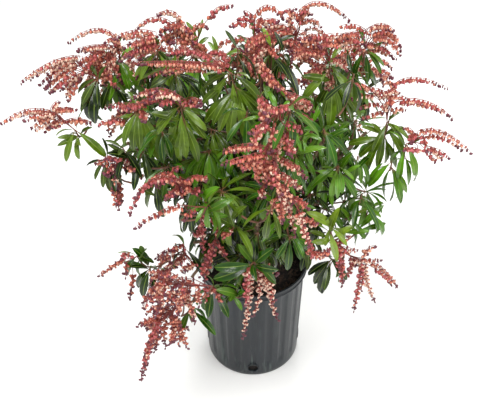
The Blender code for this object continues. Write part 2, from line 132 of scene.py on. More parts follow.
Bough = namedtuple("Bough", "parent station azimuth reach height bloom hang")
BOUGHS = {
    "left": Bough("trunk", 0.62, 190, 0.290, 0.705, 1.0, -0.3),
    "upper_left": Bough("left", 0.40, 166, 0.300, 0.720, 1.0, 0.0),
    "left_middle": Bough("left", 0.30, 208, 0.235, 0.635, 0.7, 0.6),
    "low_left": Bough("trunk", 0.49, 218, 0.215, 0.430, 0.9, 0.8),
    "front_left": Bough("trunk", 0.78, 231, 0.245, 0.625, 0.7, 0.7),
    "low_front_left": Bough("low_left", 0.30, 232, 0.262, 0.385, 0.9, 1.0),
    "crown_left": Bough("front_left", 0.40, 222, 0.180, 0.740, 0.2, 0.3),
    "front": Bough("trunk", 0.62, 272, 0.235, 0.600, 0.1, 0.6),
    "front_high": Bough("front", 0.42, 285, 0.205, 0.725, 1.0, 1.0),
    "inner_left": Bough("front_left", 0.28, 240, 0.120, 0.590, 0.0, 0.3),
    "inner_right": Bough("right", 0.20, 305, 0.130, 0.620, 0.0, 0.3),
    "over_rim": Bough("trunk", 0.38, 268, 0.185, 0.460, 0.6, 1.0),
    "crown_front": Bough("centre", 0.55, 245, 0.085, 0.765, 0.8, 0.5),
    "low_right": Bough("trunk", 0.52, 320, 0.215, 0.480, 0.8, 0.5),
    "right_low": Bough("low_right", 0.34, 333, 0.210, 0.575, 0.0, 0.4),
    "right": Bough("trunk", 0.74, 346, 0.240, 0.620, 0.1, 0.4),
    "right_tip": Bough("right", 0.45, 3, 0.270, 0.690, 1.0, 0.1),
    "right_high": Bough("right", 0.30, 333, 0.180, 0.735, 0.5, 0.4),
    "centre": Bough("trunk", 1.0, 50, 0.030, 0.770, 1.0, 0.4),
    "top_left": Bough("centre", 0.30, 166, 0.180, 0.770, 1.0, 0.2),
    "top_right": Bough("centre", 0.40, 16, 0.205, 0.765, 1.0, 0.2),
    "back": Bough("trunk", 0.66, 92, 0.235, 0.610, 0.3, 0.5),
    "back_high": Bough("back", 0.40, 84, 0.175, 0.715, 0.9, 0.5),
    "back_left": Bough("trunk", 0.80, 137, 0.265, 0.660, 0.8, 0.4),
    "low_back_left": Bough("back_left", 0.30, 152, 0.270, 0.530, 0.4, 0.8),
    "low_back": Bough("trunk", 0.42, 107, 0.225, 0.460, 0.5, 0.9),
    "back_right": Bough("trunk", 0.56, 40, 0.275, 0.650, 0.8, 0.4),
    "low_back_right": Bough("back_right", 0.28, 55, 0.255, 0.510, 0.5, 0.8),
}

# The finer growth that the solids leave out: twigs, then the leaves at their ends.
FORKS = 3
FORK_LENGTH = (0.034, 0.056)
FORK_SPREAD = (math.radians(40), math.radians(66))
FORK_STATION = (0.30, 0.85)
SIDE_TWIG_STEP = 0.026
SIDE_TWIG_SPAN = (0.34, 0.96)
SIDE_TWIG_LENGTH = (0.045, 0.085)
SIDE_TWIG_SPREAD = (math.radians(48), math.radians(78))
TWIG_LIFT = 0.30
TWIG_BEND = 0.55
TWIG_SAG = 0.07
TWIG_POINTS = 6
TWIG_RADII = (0.0021, 0.0015)
WOOD_FROM = LIMB_POINTS // 3
WOOD_SHARES = (0.2, 0.5, 0.8)
NEARLY_ALL = 0.9999
ROSETTE_GAP = 0.037
CAN_MARGIN = 0.045
LEAF_CAN_MARGIN = 0.006
TUFT_RANGE = 1
LEAF_ZONE = 0.014
LEAF_REACH = 0.066
LEAF_SAG = 0.018
LEAF_FACING = (0.8, 0.6, 0.3)
RIM_LIFTS = (0.0, 0.4, 0.9, 1.6)
LEAF_SIZES = (0.74, 1.04)
YOUNG_LEAVES = 2
YOUNG_SIZE = 0.72
YOUNG_WEIGHT = 0.3
STEM_RISE = 0.06
STEM_RISE_SHARE = 0.6
STEM_LAG = 0.2
STEM_HEADING = (0.6, 0.8, 0.4)
YOUNG_SHARE = 0.04
OLD_ANGLE = (math.radians(66), math.radians(104))
YOUNG_ANGLE = (math.radians(22), math.radians(48))
OLD_DROOP = (0.30, 0.75)
TUFT_DROOP = (0.0, 0.95)
YOUNG_DROOP = (0.0, 0.15)
LEAF_ROLL = 0.30
BLADE_KINDS = 3
EXTRA_LEAVES = 4
AIMED_BOW = 0.75
AIMED_FACING = Vector((0.0, 0.7, 0.0))
STEM_SHARES = (0.55, 0.65, 0.75, 0.85, 0.95, 1.0)
LEAF_DEPTH = (-0.03, 0.012)
AIMED_SIZES = (0.55, 1.35)
AIMED_ROLL = 0.55
LEAF_BREADTHS = {"over_rim": 1.3, "low_front_left": 1.25, "low_right": 1.15, "upper_left": 1.2}

Tuft = namedtuple(
    "Tuft", "mass line way leaves droop tint tone fill sprays", defaults=(None, None, "mixed", 0, ())
)
Shown = namedtuple("Shown", "mass nearer spot leaves droop tint tone fill sprays", defaults=("", 0, ()))
# Tufts that the photograph shows plainly: the mass that bears each, how much nearer the camera than the mass's heart
# it sits, where it stands in the picture, its leaves (their count, or where their tips are there), how they hang and
# their tint. Then its bud sprays: their tone, how many more hang with each, and where each starts, bends and ends.
SHOWN = (
    Shown("left", 0.04, (75, 130), (
        (66, 162), (76, 149), (57, 146), (57, 138), (81, 146), (94, 148), (106, 157), (92, 128),
    ), 0.5, "olive", "coral", 1, (
        (54, 112, 28, 109, 1, 123), (56, 114, 44, 118, 30, 128), (60, 117, 52, 122, 46, 130),
        (52, 110, 63, 107, 75, 109), (56, 113, 40, 113, 22, 120), (66, 120, 78, 118, 91, 122),
        (50, 111, 53, 104, 59, 100), (66, 121, 58, 120, 50, 126),
    )),
    Shown("upper_left", 0.03, (98, 78), (
        (82, 105), (95, 124), (86, 114), (103, 120), (78, 94), (90, 104), (99, 110), (90, 120),
    ), 0.9, "deep", "mixed", 1, (
        (79, 55, 50, 62, 20, 82), (76, 60, 58, 66, 39, 85), (76, 64, 60, 74, 44, 88), (76, 68, 63, 80, 50, 92),
        (78, 72, 70, 80, 60, 89), (79, 76, 74, 88, 67, 101), (74, 59, 62, 61, 46, 74), (80, 74, 72, 79, 64, 84),
    )),
    Shown("upper_left", 0.0, (113, 80), (
        (120, 113), (127, 103), (111, 112), (126, 94), (102, 110),
    ), 0.9, "deep", "mixed", 1, (
        (108, 45, 92, 46, 77, 50), (106, 48, 90, 54, 77, 64), (104, 50, 90, 62, 80, 78), (100, 54, 90, 72, 86, 90),
        (104, 54, 98, 68, 95, 83), (108, 56, 104, 72, 102, 84), (110, 56, 108, 74, 118, 87),
        (114, 54, 114, 68, 123, 82), (116, 46, 110, 60, 108, 77), (98, 52, 88, 64, 78, 80),
        (112, 50, 100, 60, 90, 80),
    )),
    Shown("upper_left", -0.02, (119, 61), ((137, 89), (130, 91), (128, 80), (118, 84)), 0.7, "bright", "coral", 0, (
        (121, 44, 99, 28, 68, 42), (118, 48, 102, 44, 78, 48), (124, 50, 130, 62, 137, 78),
        (120, 48, 114, 38, 104, 42), (118, 50, 112, 46, 98, 44), (122, 52, 116, 44, 112, 36),
    )),
    Shown("top_left", 0.02, (157, 46), 8, 0.8, "olive", "mixed", 1, (
        (156, 32, 134, 30, 114, 38), (158, 36, 142, 40, 122, 46), (156, 40, 140, 46, 124, 56),
        (158, 42, 146, 48, 140, 58), (152, 33, 144, 37, 128, 42), (148, 44, 132, 50, 120, 60),
        (160, 40, 150, 42, 136, 50),
    )),
    Shown("top_left", -0.03, (176, 46), 5, 0.5, "olive", "coral", 0, (
        (174, 24, 154, 17, 135, 29), (184, 32, 175, 12, 156, 14),
    )),
    Shown("top_left", 0.0, (194, 50), 7, 0.4, "olive", "brick", 1, (
        (190, 38, 178, 22, 161, 30), (188, 36, 172, 24, 158, 35), (192, 40, 176, 31, 160, 42),
        (194, 42, 182, 36, 166, 40), (200, 48, 192, 40, 188, 30), (196, 38, 188, 30, 176, 28),
        (190, 36, 186, 28, 186, 24), (206, 50, 200, 44, 193, 40),
    )),
    Shown("top_left", -0.05, (198, 38), 4, 0.2, "olive", "crimson", 0, (
        (210, 17, 218, 7, 233, 5), (192, 30, 198, 23, 208, 27),
    )),
    Shown("crown_front", 0.03, (231, 73), (
        (203, 88), (202, 104), (205, 123), (214, 103), (213, 126), (219, 132), (229, 139), (236, 142), (247, 143),
        (257, 118), (244, 118), (259, 101), (263, 112),
    ), 0.85, "olive", "coral", 1, (
        (226, 69, 188, 63, 148, 76), (222, 64, 182, 61, 138, 62), (212, 58, 190, 48, 167, 54),
    )),
    Shown("crown_front", 0.0, (222, 70), 0, 0.0, "mid", "crimson", 1, (
        (210, 55, 190, 50, 172, 51), (228, 62, 218, 60, 208, 66), (230, 60, 218, 50, 206, 56),
    )),
    Shown("crown_left", 0.04, (181, 106), (
        (150, 113), (156, 128), (158, 135), (164, 155), (171, 145), (175, 164), (181, 161), (190, 151), (198, 162),
        (206, 139), (207, 131), (200, 114), (186, 158),
    ), 0.85, "olive", "crimson", 1, (
        (180, 97, 158, 88, 130, 98), (182, 100, 166, 92, 150, 97), (160, 92, 146, 98, 134, 105),
        (148, 99, 134, 104, 118, 108), (176, 98, 168, 99, 160, 104), (182, 101, 192, 97, 202, 101),
    )),
    Shown("crown_left", 0.02, (138, 110), (
        (119, 118), (121, 131), (124, 145), (131, 142), (134, 151), (140, 150), (148, 142), (156, 145), (151, 156),
        (160, 151), (146, 131), (158, 160),
    ), 0.9, "olive", "crimson", 0, (
        (140, 107, 126, 103, 108, 105), (141, 108, 143, 113, 143, 120), (126, 121, 112, 119, 97, 124),
        (136, 106, 130, 106, 122, 110),
    )),
    Shown("left_middle", 0.0, (123, 148), (
        (106, 153), (107, 144), (111, 151), (142, 178), (124, 185),
    ), 0.7, "deep", "brick", 1, (
        (124, 158, 108, 158, 94, 163), (122, 162, 112, 166, 103, 173), (120, 158, 128, 155, 135, 160),
        (116, 168, 116, 188, 119, 209), (118, 170, 119, 188, 121, 204), (118, 172, 114, 182, 116, 197),
        (122, 164, 130, 169, 141, 177), (116, 164, 110, 168, 108, 176), (122, 160, 114, 156, 104, 157),
        (124, 160, 130, 164, 134, 170),
    )),
    Shown("left_middle", -0.02, (106, 159), ((111, 192), (95, 180), (110, 182), (103, 188)), 0.9, "deep"),
    Shown("front_left", 0.03, (208, 204), (
        (220, 187), (234, 198), (228, 216), (209, 228), (203, 189), (190, 212), (219, 228), (196, 222),
    ), 0.2, "bright", "crimson", 1, (
        (176, 178, 148, 182, 129, 215), (180, 181, 164, 172, 150, 181), (184, 182, 168, 177, 158, 187),
        (176, 182, 172, 170, 182, 166), (182, 184, 172, 190, 166, 199), (186, 186, 178, 188, 172, 193),
        (192, 188, 185, 190, 180, 196), (184, 181, 196, 175, 207, 180), (190, 187, 186, 180, 178, 177),
        (196, 192, 198, 187, 201, 192),
    )),
    Shown("front_left", 0.05, (206, 207), 0, 0.0, "mid", "crimson", 0, (
        (182, 205, 160, 211, 135, 227), (196, 208, 190, 212, 182, 220),
    )),
    Shown("front_left", 0.0, (155, 184), ((148, 208), (158, 211), (143, 190), (163, 204)), 0.9, "deep"),
    Shown("front_left", 0.0, (190, 208), ((184, 232), (192, 232), (198, 226)), 0.8, "deep"),
    Shown("inner_left", 0.07, (206, 209), 0, 0.0, "mid", "crimson", 0, (
        (202, 212, 203, 228, 203, 252), (199, 212, 193, 213, 187, 217), (204, 226, 199, 232, 193, 233),
        (209, 214, 216, 222, 218, 233), (204, 214, 200, 224, 199, 236),
    )),
    Shown("inner_left", 0.09, (231, 221), (
        (247, 206), (255, 228), (249, 247), (217, 217), (223, 244), (240, 245), (231, 246), (217, 229), (233, 205),
    ), 0.0, "olive", "brick", 0, ((230, 228, 222, 231, 213, 230), (234, 228, 228, 232, 222, 236))),
    Shown("low_left", 0.04, (216, 234), 0, 0.0, "mid", "crimson", 1, (
        (216, 238, 210, 258, 204, 283), (214, 240, 206, 258, 201, 276), (218, 240, 222, 248, 226, 253),
        (217, 240, 213, 250, 209, 264),
    )),
    Shown("low_left", 0.0, (184, 246), 5, 0.3, "deep", "coral", 1, (
        (176, 251, 166, 250, 156, 257), (178, 254, 165, 258, 157, 271), (182, 258, 171, 262, 162, 273),
        (186, 248, 178, 244, 171, 250), (190, 262, 196, 264, 200, 271), (184, 252, 180, 258, 175, 267),
        (196, 262, 188, 264, 181, 271), (170, 268, 158, 273, 150, 286),
    )),
    Shown("low_front_left", 0.03, (231, 294), (
        (241, 309), (229, 311), (245, 292), (216, 290), (237, 283),
    ), 0.5, "mid", "brick", 1, (
        (208, 285, 216, 292, 222, 302), (206, 285, 206, 296, 208, 308), (200, 283, 198, 293, 200, 305),
        (196, 280, 186, 278, 176, 277),
    )),
    Shown("low_front_left", 0.05, (212, 286), 0, 0.0, "mid", "mixed", 1, (
        (186, 290, 190, 306, 195, 322), (186, 285, 180, 299, 176, 315), (182, 283, 176, 297, 179, 312),
        (190, 286, 187, 294, 189, 302), (176, 283, 170, 292, 168, 305), (170, 282, 161, 291, 160, 305),
        (166, 279, 156, 289, 152, 302), (160, 281, 150, 293, 143, 309), (172, 280, 160, 275, 150, 279),
        (168, 277, 158, 270, 150, 273), (178, 277, 168, 272, 160, 277), (164, 285, 162, 300, 155, 315),
    )),
    Shown("low_front_left", 0.03, (184, 300), 0, 0.0, "mid", "brick", 1, (
        (166, 313, 152, 316, 138, 326), (164, 306, 154, 306, 146, 314), (170, 304, 164, 308, 160, 314),
        (164, 316, 150, 320, 139, 322), (166, 316, 155, 322, 147, 329), (160, 318, 148, 344, 141, 380),
        (158, 322, 150, 344, 145, 366), (160, 320, 156, 334, 155, 351), (168, 318, 164, 330, 166, 347),
        (170, 318, 173, 329, 170, 343), (172, 316, 181, 328, 187, 348), (174, 316, 180, 329, 178, 345),
        (170, 314, 180, 320, 189, 329),
    )),
    Shown("low_front_left", -0.02, (137, 256), (
        (128, 275), (147, 249), (152, 262), (124, 262), (132, 248),
    ), 0.3, "mid", "brick", 0, (
        (124, 258, 114, 264, 99, 275), (133, 259, 126, 264, 126, 277), (133, 272, 132, 284, 129, 299),
        (130, 256, 126, 252, 122, 257),
    )),
    Shown("low_front_left", -0.02, (150, 268), ((143, 297), (138, 288), (151, 290)), 0.9, "deep"),
    Shown("low_front_left", 0.0, (192, 304), 6, 0.6, "mid"),
    Shown("over_rim", 0.03, (254, 262), (
        (214, 267), (213, 279), (222, 288), (252, 239), (274, 248), (279, 270), (276, 284), (238, 244), (234, 284),
    ), 0.1, "mid", "pale", 0, (
        (250, 266, 249, 298, 243, 338), (248, 268, 246, 286, 247, 304), (256, 270, 260, 290, 253, 316),
        (262, 274, 268, 290, 278, 320), (264, 272, 271, 284, 274, 302), (244, 266, 238, 266, 235, 274),
        (262, 266, 270, 266, 278, 274), (250, 268, 240, 270, 238, 282), (256, 268, 262, 270, 268, 277),
        (252, 268, 247, 270, 245, 280),
    )),
    Shown("front_high", 0.05, (291, 106), 9, 0.7, "mid", "pale", 1, (
        (281, 121, 279, 140, 274, 163), (272, 150, 275, 165, 277, 182),
    )),
    Shown("front_high", 0.06, (284, 108), 0, 0.0, "mid", "crimson", 1, (
        (261, 94, 264, 107, 270, 121), (273, 122, 273, 136, 269, 153), (292, 104, 280, 106, 266, 111),
        (266, 120, 260, 125, 250, 131), (284, 121, 294, 123, 303, 131), (285, 128, 291, 140, 293, 156),
        (283, 130, 287, 142, 287, 153), (263, 97, 262, 107, 262, 119), (262, 124, 257, 134, 252, 143),
        (270, 112, 266, 120, 262, 128),
    )),
    Shown("front_high", 0.07, (274, 124), 0, 0.0, "mid", "brick", 1, (
        (264, 146, 244, 144, 222, 151), (264, 152, 244, 156, 222, 163), (258, 157, 250, 162, 242, 169),
        (262, 156, 257, 168, 260, 182), (267, 150, 264, 163, 263, 178), (270, 158, 269, 171, 272, 187),
        (278, 158, 291, 164, 306, 177), (280, 172, 291, 178, 303, 190),
    )),
    Shown("front_high", 0.08, (276, 156), 0, 0.0, "mid", "mixed", 1, (
        (274, 162, 276, 178, 281, 195), (278, 182, 287, 190, 293, 203), (265, 184, 260, 190, 262, 198),
        (277, 196, 272, 203, 268, 211), (282, 198, 281, 209, 281, 221), (284, 193, 289, 209, 296, 238),
        (284, 193, 298, 198, 309, 209),
    )),
    Shown("front_high", 0.09, (284, 184), 0, 0.0, "mid", "pale", 0, (
        (302, 209, 303, 227, 310, 246), (280, 188, 284, 198, 290, 212), (299, 211, 299, 218, 303, 226),
    )),
    Shown("front_high", 0.09, (298, 204), 0, 0.0, "mid", "crimson", 1, (
        (309, 244, 317, 253, 330, 248), (303, 217, 311, 219, 319, 224), (304, 228, 307, 238, 312, 247),
    )),
    Shown("crown_front", 0.02, (264, 66), 0, 0.0, "mid", "mixed", 1, (
        (284, 92, 300, 99, 315, 111), (288, 92, 302, 97, 313, 105), (298, 111, 307, 116, 316, 124),
        (260, 58, 272, 77, 290, 94), (258, 59, 265, 72, 277, 87),
    )),
    Shown("centre", 0.02, (272, 48), 6, 0.5, "deep", "mixed", 1, (
        (276, 30, 256, 36, 240, 50), (272, 32, 250, 44, 234, 62), (268, 36, 248, 54, 236, 74),
        (266, 40, 253, 58, 246, 77), (266, 44, 258, 61, 256, 79), (262, 50, 262, 66, 268, 83),
        (254, 44, 245, 61, 239, 76), (250, 46, 240, 56, 232, 68), (256, 58, 250, 68, 250, 77),
        (264, 44, 272, 49, 277, 57), (270, 70, 282, 73, 293, 77),
    )),
    Shown("centre", -0.02, (254, 40), 4, 0.4, "mid", "crimson", 0, (
        (252, 19, 245, 16, 238, 18), (252, 26, 241, 21, 230, 25), (254, 16, 249, 12, 244, 10),
        (255, 15, 269, 5, 286, 20), (262, 21, 270, 18, 279, 20), (262, 15, 259, 21, 257, 29),
    )),
    Shown("back_high", 0.0, (296, 38), 0, 0.5, "deep", "mixed", 1, (
        (296, 30, 278, 23, 260, 28), (294, 32, 276, 30, 258, 36), (292, 34, 277, 38, 264, 44),
        (298, 32, 288, 40, 290, 50), (294, 28, 290, 16, 295, 7), (299, 22, 303, 9, 312, 14),
        (298, 24, 311, 18, 321, 26), (300, 30, 310, 33, 318, 36), (304, 34, 301, 45, 294, 56),
        (280, 36, 290, 38, 301, 44),
    )),
    Shown("back_high", -0.02, (300, 26), 0, 0.0, "mid", "coral", 0, (
        (294, 18, 318, 1, 350, 20), (297, 20, 290, 9, 282, 13),
    )),
    Shown("top_right", 0.03, (329, 63), (
        (301, 76), (302, 99), (315, 112), (329, 129), (339, 117), (353, 98), (346, 129), (344, 82), (362, 119),
        (357, 132), (322, 118),
    ), 0.85, "olive", "mixed", 1, (
        (326, 57, 306, 50, 290, 61), (326, 50, 306, 46, 288, 50), (326, 62, 313, 70, 301, 87),
        (327, 66, 316, 76, 306, 87), (329, 66, 328, 83, 330, 102), (330, 59, 339, 60, 346, 69),
        (333, 42, 322, 34, 306, 38), (334, 41, 348, 32, 365, 37), (334, 45, 352, 38, 367, 44),
        (336, 43, 324, 42, 313, 46), (320, 41, 308, 38, 298, 37), (322, 36, 336, 33, 350, 36),
    )),
    Shown("top_right", 0.0, (365, 50), (
        (376, 88), (384, 67), (368, 83), (353, 80), (381, 75),
    ), 0.9, "mid", "mixed", 1, (
        (362, 45, 350, 44, 338, 48), (364, 46, 352, 53, 336, 56), (366, 44, 381, 46, 397, 59),
        (366, 44, 377, 43, 389, 50), (370, 33, 389, 31, 402, 51), (367, 30, 381, 23, 394, 30),
        (372, 38, 388, 38, 400, 55), (367, 49, 374, 52, 381, 61), (342, 60, 356, 65, 371, 75),
        (374, 35, 381, 32, 388, 41),
    )),
    Shown("top_right", -0.03, (362, 42), 0, 0.0, "mid", "crimson", 0, ((366, 30, 354, 24, 340, 26),)),
    Shown("right_tip", 0.02, (387, 122), (
        (348, 144), (359, 157), (372, 153), (384, 164), (396, 168), (403, 157), (409, 140), (361, 127), (377, 168),
        (368, 170), (405, 146), (371, 123), (404, 127),
    ), 0.7, "olive", "rose", 0, (
        (400, 100, 427, 101, 454, 119), (386, 100, 396, 95, 408, 98), (392, 112, 398, 107, 406, 110),
        (397, 102, 420, 102, 443, 111), (391, 94, 376, 88, 360, 86), (374, 96, 363, 94, 352, 98),
        (370, 89, 361, 83, 353, 84), (385, 104, 373, 103, 360, 107), (385, 110, 374, 113, 362, 118),
        (384, 100, 380, 92, 373, 94), (392, 100, 386, 105, 383, 114), (386, 92, 392, 89, 399, 92),
        (390, 90, 391, 96, 390, 104),
    )),
    Shown("right_tip", 0.0, (390, 116), 0, 0.0, "mid", "rose", 0, (
        (391, 88, 413, 77, 449, 88), (396, 94, 392, 83, 382, 73),
    )),
    Shown("right", 0.0, (406, 144), (
        (413, 181), (402, 160), (414, 176), (413, 158), (408, 186),
    ), 0.9, "bright", "rose", 0, (
        (418, 131, 443, 131, 471, 152), (424, 135, 442, 136, 464, 150), (424, 133, 425, 142, 431, 152),
        (426, 146, 438, 149, 449, 157), (422, 146, 430, 154, 437, 161), (418, 134, 413, 134, 412, 142),
        (418, 149, 412, 147, 405, 149), (414, 132, 410, 128, 404, 127), (430, 147, 438, 153, 443, 159),
    )),
    Shown("low_right", 0.02, (330, 227), (
        (306, 212), (311, 242), (355, 225), (340, 207), (345, 238), (309, 231), (347, 246), (325, 246),
    ), -0.2, "young", "crimson", 1, (
        (336, 245, 342, 262, 342, 285), (336, 246, 346, 247, 358, 250), (332, 246, 323, 251, 312, 247),
        (332, 239, 342, 239, 350, 234), (338, 246, 340, 256, 338, 268),
    )),
    Shown("low_right", 0.0, (342, 252), 0, 0.0, "mid", "rose", 0, (
        (348, 258, 364, 259, 381, 259), (364, 258, 367, 249, 376, 245), (362, 260, 359, 283, 354, 310),
        (366, 262, 367, 279, 375, 301), (370, 262, 385, 270, 398, 287), (374, 268, 384, 274, 392, 284),
        (354, 260, 350, 268, 347, 277), (362, 262, 363, 274, 361, 290), (350, 256, 356, 262, 364, 264),
    )),
    Shown("low_right", 0.0, (329, 256), ((308, 275), (321, 293), (338, 282), (347, 280), (314, 284)), 0.8, "deep"),
    Shown("top_left", 0.0, (150, 64), 7, 0.9, "deep"),
    Shown("crown_front", -0.02, (176, 73), (
        (150, 88), (160, 90), (172, 94), (189, 100), (201, 98), (200, 84), (181, 97),
    ), 0.9, "deep"),
    Shown("crown_front", -0.03, (238, 48), 5, 0.7, "deep"),
    Shown("crown_front", 0.05, (247, 112), 10, 0.6, "mid"),
    Shown("centre", 0.03, (284, 54), 8, 0.8, "deep"),
    Shown("right_high", 0.03, (354, 74), 8, 0.9, "deep"),
    Shown("right_high", 0.04, (324, 129), (
        (347, 154), (336, 167), (327, 165), (349, 129), (300, 119), (302, 130), (312, 150),
    ), 0.5, "mid"),
    Shown("right_high", 0.06, (301, 137), ((312, 165), (327, 148), (292, 152), (300, 160)), 0.6, "bright"),
    Shown("right", 0.06, (338, 166), (
        (311, 187), (331, 198), (356, 198), (354, 180), (361, 165), (353, 153), (317, 171), (342, 194),
    ), 0.1, "bright"),
    Shown("right", 0.03, (358, 156), ((368, 182), (352, 186), (372, 154), (344, 150), (361, 184)), 0.7, "mid"),
    Shown("right", 0.0, (392, 161), (
        (389, 209), (396, 198), (407, 193), (401, 204), (368, 187), (385, 198),
    ), 1.0, "bright"),
    Shown("right_low", 0.03, (362, 194), 8, 0.4, "mid"),
    Shown("right_low", 0.02, (351, 218), (
        (355, 246), (370, 231), (365, 239), (361, 200), (339, 208), (332, 214),
    ), 0.1, "bright"),
    Shown("right_low", 0.0, (369, 209), ((386, 223), (384, 205), (381, 236), (375, 234), (380, 210)), 0.6, "bright"),
    Shown("front", 0.06, (272, 206), 9, 0.8, "olive"),
    Shown("front", 0.05, (291, 236), ((276, 259), (286, 264), (301, 260), (307, 250), (268, 240)), 0.6, "mid"),
    Shown("over_rim", 0.02, (258, 232), ((264, 251), (253, 257), (282, 236), (275, 225), (245, 250)), 0.4, "deep"),
    Shown("crown_left", 0.05, (160, 128), 10, 0.8, "mid"),
    Shown("low_front_left", 0.02, (214, 286), 7, 0.4, "mid"),
)
# The outline in the picture that holds every tuft by the rule.
LEAFY_OUTLINE = (
    (90, 72), (114, 56), (150, 44), (186, 44), (206, 54), (232, 54), (258, 40), (300, 34), (342, 44), (364, 56),
    (368, 78), (370, 108), (384, 132), (388, 156), (380, 176), (370, 188), (374, 204), (356, 218), (330, 234),
    (308, 250), (284, 256), (262, 260), (240, 262), (222, 268), (206, 264), (204, 244), (206, 228), (192, 204),
    (168, 182), (152, 166), (140, 158), (138, 140), (134, 114), (120, 94), (104, 88), (90, 84),
)
# The same for the sprays by the rule.
BUD_OUTLINE = (
    (60, 60), (110, 38), (150, 34), (190, 38), (212, 52), (234, 44), (252, 30), (300, 24), (380, 32), (396, 60),
    (396, 260), (60, 260),
)
# A tuft by the rule may not cover a shown leaf or spray: its leaves hang so far below its tip and reach so far round
# that spot, in pixels, and it does cover what isn't at least so much nearer the camera, in metres.
SPRAY_BERTH = 13.0
LEAF_HANG = 12.0
IN_FRONT = 0.02
# The leaves of a tuft by the rule, give or take TUFT_RANGE.
FULL_TUFT = 13
# The camera, as solved from the photograph, and the same in pixels of the picture.
CAMERA_PLACE = Vector((-0.0077, -1.1898, 1.462))
CAMERA_TILT = math.radians(40.3)
CAMERA_LENS = 50.4
CAMERA_SENSOR = 36.0
PICTURE_CENTRE = (250.0, 208.5)
PICTURE_FOCAL = 700.0


def linear(code):
    """The linear colour of a six-digit sRGB code, as Blender's sockets take it."""
    parts = [int(code[i : i + 2], 16) / 255 for i in (0, 2, 4)]
    return tuple(c / 12.92 if c <= 0.04045 else ((c + 0.055) / 1.055) ** 2.4 for c in parts)


# ---------------------------------------------------------------------- settings


def length_setting(name, description, default):
    return FloatProperty(name=name, description=description, default=default, min=0.0, precision=4, unit="LENGTH")


def colour_setting(name, description, code):
    return FloatVectorProperty(
        name=name, description=description, default=linear(code), size=3, min=0.0, max=1.0, subtype="COLOR"
    )


class AndromedaCrown(bpy.types.PropertyGroup):
    leaf_length: length_setting("Leaf length", "Length of a full-grown leaf with its stalk", 0.076)
    leaf_width: length_setting("Leaf width", "Width of a full-grown leaf at its widest", 0.0150)
    bud_length: length_setting("Bud length", "Length of a flower bud with its stalk", 0.0114)
    bud_width: length_setting("Bud width", "Width of a flower bud", 0.0043)
    bud_spacing: length_setting("Bud spacing", "Step between buds along one spray", 0.0036)
    spray_shortest: length_setting("Shortest spray", "Length of the shortest bud sprays", 0.080)
    spray_longest: length_setting("Longest spray", "Length of the longest bud sprays", 0.118)
    stalk_radius: length_setting("Stalk radius", "Radius of a bud spray's stalk at its foot", 0.0010)
    bark_relief: length_setting("Bark relief", "Height of the bark's ridges on the trunk", 0.0011)
    limb_sides: IntProperty(name="Limb sides", description="Sides of a limb's tube", default=12, min=3)
    twig_sides: IntProperty(name="Twig sides", description="Sides of a twig's tube", default=5, min=3)
    stalk_sides: IntProperty(name="Stalk sides", description="Sides of a spray stalk's tube", default=3, min=3)


class AndromedaCan(bpy.types.PropertyGroup):
    flutes: IntProperty(name="Flutes", description="Number of flutes round the can's wall", default=20, min=1)
    flute_depth: length_setting("Flute depth", "Depth of a flute in the can's wall", 0.0026)
    boss_radius: length_setting("Drain ring", "Radius of the raised ring's tube round a drain hole", 0.0015)
    chip_size: length_setting("Chip size", "Length of a chip of bark in the potting mix", 0.011)
    chip_density: FloatProperty(name="Chip density", description="Chips per square metre", default=26000.0, min=0.0)
    mix_relief: length_setting("Mix relief", "Height of the lumps in the potting mix", 0.0035)


class AndromedaColours(bpy.types.PropertyGroup):
    # A darker green that paints the shade inside the crown.
    leaf_deep: colour_setting("Leaves in painted shade", "Leaves inside the crown, darkened as painted shade", "0E2402")
    leaf_mid: colour_setting("Leaves", "Most of the leaves", "245002")
    leaf_olive: colour_setting("Olive leaves", "Leaves turned by cold and sun", "4A640A")
    # A lighter, yellower green: partly the fresher colour of some leaves, partly painted light on leaves in full
    # light.
    leaf_bright: colour_setting("Fresh and lit leaves", "Leaves of a fresher green, lightened as painted light", "4A7A0A")
    leaf_young: colour_setting("Young leaves", "The youngest leaves of a tuft", "6C8420")
    leaf_under: colour_setting("Underside", "Undersides of the leaves", "50701A")
    leaf_rib: colour_setting("Midrib", "Midrib of a leaf", "7E963A")
    leaf_stalk: colour_setting("Leaf stalk", "Foot of a leaf and its stalk", "84503A")
    twig: colour_setting("Twigs", "This year's twigs", "6A4430")
    stalk: colour_setting("Spray stalks", "Stalks of the bud sprays", "843A34")
    calyx: colour_setting("Calyx", "Sepals over most of the buds", "8C3A30")
    # The dark calyx goes with the dark buds, so it also paints shade where those do.
    calyx_dark: colour_setting("Dark calyx", "Sepals over the small dark buds", "66303A")
    bud_coral: colour_setting("Coral buds", "Most of the buds", "E2A288")
    bud_brick: colour_setting("Brick buds", "Redder buds", "CA7860")
    bud_crimson: colour_setting("Crimson buds", "Buds with a bluer red", "BE6064")
    bud_pale: colour_setting("Pale buds", "Buds about to open", "F0CCB6")
    # The small dark buds at the ends of the sprays, and also buds darkened as painted shade in some lower and left
    # masses.
    bud_dark: colour_setting("Dark buds", "Small buds at the ends of the sprays, and buds darkened as painted shade", "642A3A")
    bark: colour_setting("Bark", "Bark of the trunk and limbs", "7A6450")
    bark_furrow_shade: colour_setting("Painted furrow shade", "Painted shade in the bark's furrows", "43342A")
    plastic: colour_setting("Can", "The can's plastic", "141A20")
    plastic_scuff: colour_setting("Can scuffs", "Dust and scuffs on the can", "5E6A64")
    mix: colour_setting("Potting mix", "The potting mix", "1E1713")
    chips: colour_setting("Bark chips", "Chips of bark in the mix", "3E2E24")
    floor: colour_setting("Floor", "The studio floor", "F4F4F2")


# ------------------------------------------------------------------ node helpers

FINER = 4.0


